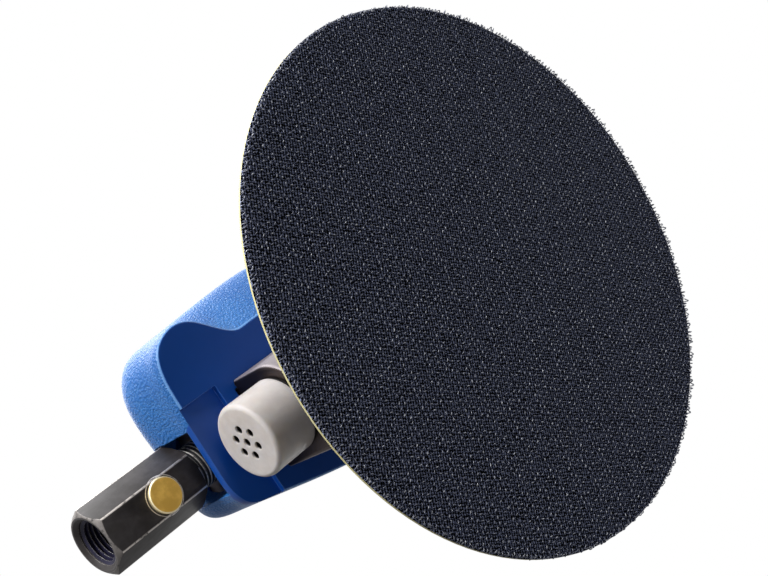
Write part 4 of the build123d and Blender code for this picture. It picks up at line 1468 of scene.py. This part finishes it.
@dataclass
class Studio:
    """Camera, pale floor, white backdrop and soft lamps."""

    lens: float = 58.946
    sensor: float = 36.0
    clip: Span = (0.01, 50.0)
    eye: Point = (-0.23755, -0.03372, -0.21911)
    right: Point = (0.59034, 0.54776, -0.59228)
    up: Point = (0.43984, -0.83338, -0.33305)
    back: Point = (-0.67607, -0.06392, -0.73343)
    ambient: float = 0.09
    mirror_dim: float = 0.4
    mirror_fade: Span = (-0.1, 0.6)
    floor_size: float = 4.0
    floor_level: float = -0.3 * MM
    floor_fade: Span = (0.9, 0.25)
    lamps: tuple[Lamp, ...] = (
        Lamp("key", (-0.55, -0.83, -0.06), 0.9, 0.4, 7.5),
        Lamp("back_strip", (0.10, -0.80, 0.55), 0.9, 0.3, 4.8),
        Lamp("front_fill", (-0.80, 0.25, -0.70), 0.9, 0.7, 0.3),
        Lamp("top", (0.35, -0.25, 1.0), 1.0, 0.8, 3.8),
        Lamp("side", (0.9, 0.55, 0.5), 1.0, 0.7, 1.8),
        Lamp("pad_graze", (0.85, -0.35, -0.40), 0.9, 0.4, 0.7),
    )

    def build(self) -> None:
        """Build the whole studio."""
        self.camera()
        self.world()
        self.floor()
        aim = (CAD_LOW + CAD_HIGH) / 2
        for lamp in self.lamps:
            lamp.build(aim)
        bpy.context.scene.view_settings.view_transform = "Standard"

    def camera(self) -> None:
        """Place the camera at the viewing angle of the picture."""
        data = bpy.data.cameras.new("camera")
        data.lens = self.lens
        data.sensor_width = self.sensor
        data.clip_start, data.clip_end = self.clip
        camera = bpy.data.objects.new("camera", data)
        turn = Matrix((self.right, self.up, self.back)).transposed().to_4x4()
        camera.matrix_world = Matrix.Translation(self.eye) @ turn
        bpy.context.scene.collection.objects.link(camera)
        bpy.context.scene.camera = camera

    def world(self) -> None:
        """Make a white backdrop, dimmer in reflections on the side away from the key, with a soft ambient."""
        world = bpy.data.worlds.new("backdrop")
        world.use_nodes = True
        nodes, links = world.node_tree.nodes, world.node_tree.links
        nodes.clear()
        path = nodes.new("ShaderNodeLightPath")
        mirrored = nodes.new("ShaderNodeMath")
        mirrored.operation = "MAXIMUM"
        links.new(path.outputs["Is Glossy Ray"], mirrored.inputs[0])
        links.new(path.outputs["Is Transmission Ray"], mirrored.inputs[1])
        side = nodes.new("ShaderNodeSeparateXYZ")
        links.new(nodes.new("ShaderNodeTexCoord").outputs["Generated"], side.inputs["Vector"])
        dim = nodes.new("ShaderNodeMapRange")
        limits = (*self.mirror_fade, 1.0, self.mirror_dim)
        for key, value in zip(("From Min", "From Max", "To Min", "To Max"), limits):
            dim.inputs[key].default_value = value
        links.new(side.outputs["Y"], dim.inputs["Value"])
        soft, white, reflected = (nodes.new("ShaderNodeBackground") for _ in range(3))
        for shade in (soft, white, reflected):
            shade.inputs["Color"].default_value = (1, 1, 1, 1)
        soft.inputs["Strength"].default_value = self.ambient
        white.inputs["Strength"].default_value = 1.0
        links.new(dim.outputs["Result"], reflected.inputs["Strength"])
        seen, all_rays = (nodes.new("ShaderNodeMixShader") for _ in range(2))
        links.new(path.outputs["Is Camera Ray"], seen.inputs["Fac"])
        links.new(soft.outputs["Background"], seen.inputs[1])
        links.new(white.outputs["Background"], seen.inputs[2])
        links.new(mirrored.outputs["Value"], all_rays.inputs["Fac"])
        links.new(seen.outputs["Shader"], all_rays.inputs[1])
        links.new(reflected.outputs["Background"], all_rays.inputs[2])
        links.new(all_rays.outputs["Shader"], nodes.new("ShaderNodeOutputWorld").inputs["Surface"])
        bpy.context.scene.world = world

    def floor(self) -> None:
        """Lay a pale floor that is seen from above only and fades into the backdrop."""
        deselect()
        bpy.ops.mesh.primitive_grid_add(
            x_subdivisions=8, y_subdivisions=8, size=self.floor_size, location=(0, 0, self.floor_level)
        )
        floor = bpy.context.object
        floor.name = "floor"
        bpy.ops.object.transform_apply(location=True)
        s = Shader("floor_pale")
        speckled = s.mix(s.noise(300.0), rgb(238, 238, 238), rgb(246, 246, 246))
        s.set(base_color=speckled, roughness=0.8, specular_ior_level=0.1)
        path = s.nodes.new("ShaderNodeLightPath")
        above = s.inverse(s.nodes.new("ShaderNodeNewGeometry").outputs["Backfacing"])
        near = s.band(s.radius_from((0, 0, 0), Axis.Z), *self.floor_fade)
        shown = s.times(s.times(above, path.outputs["Is Camera Ray"]), near)
        mix = s.nodes.new("ShaderNodeMixShader")
        s.put(shown, mix.inputs["Fac"])
        s.put(s.nodes.new("ShaderNodeBsdfTransparent").outputs["BSDF"], mix.inputs[1])
        s.put(s.surface.outputs["BSDF"], mix.inputs[2])
        s.put(mix.outputs["Shader"], s.nodes["Material Output"].inputs["Surface"])
        floor.data.materials.append(s.material)


def main() -> None:
    """Build the studio and every piece in order."""
    logging.basicConfig(level=logging.INFO, format="%(name)s: %(message)s")
    Studio().build()
    dress_nodes()
    for assembly in (HookPad(), InletBushing(), FeltRings(), ValveSpring()):
        assembly.build()
        log.info("built %s", type(assembly).__name__)


if __name__ == "__main__":
    main()
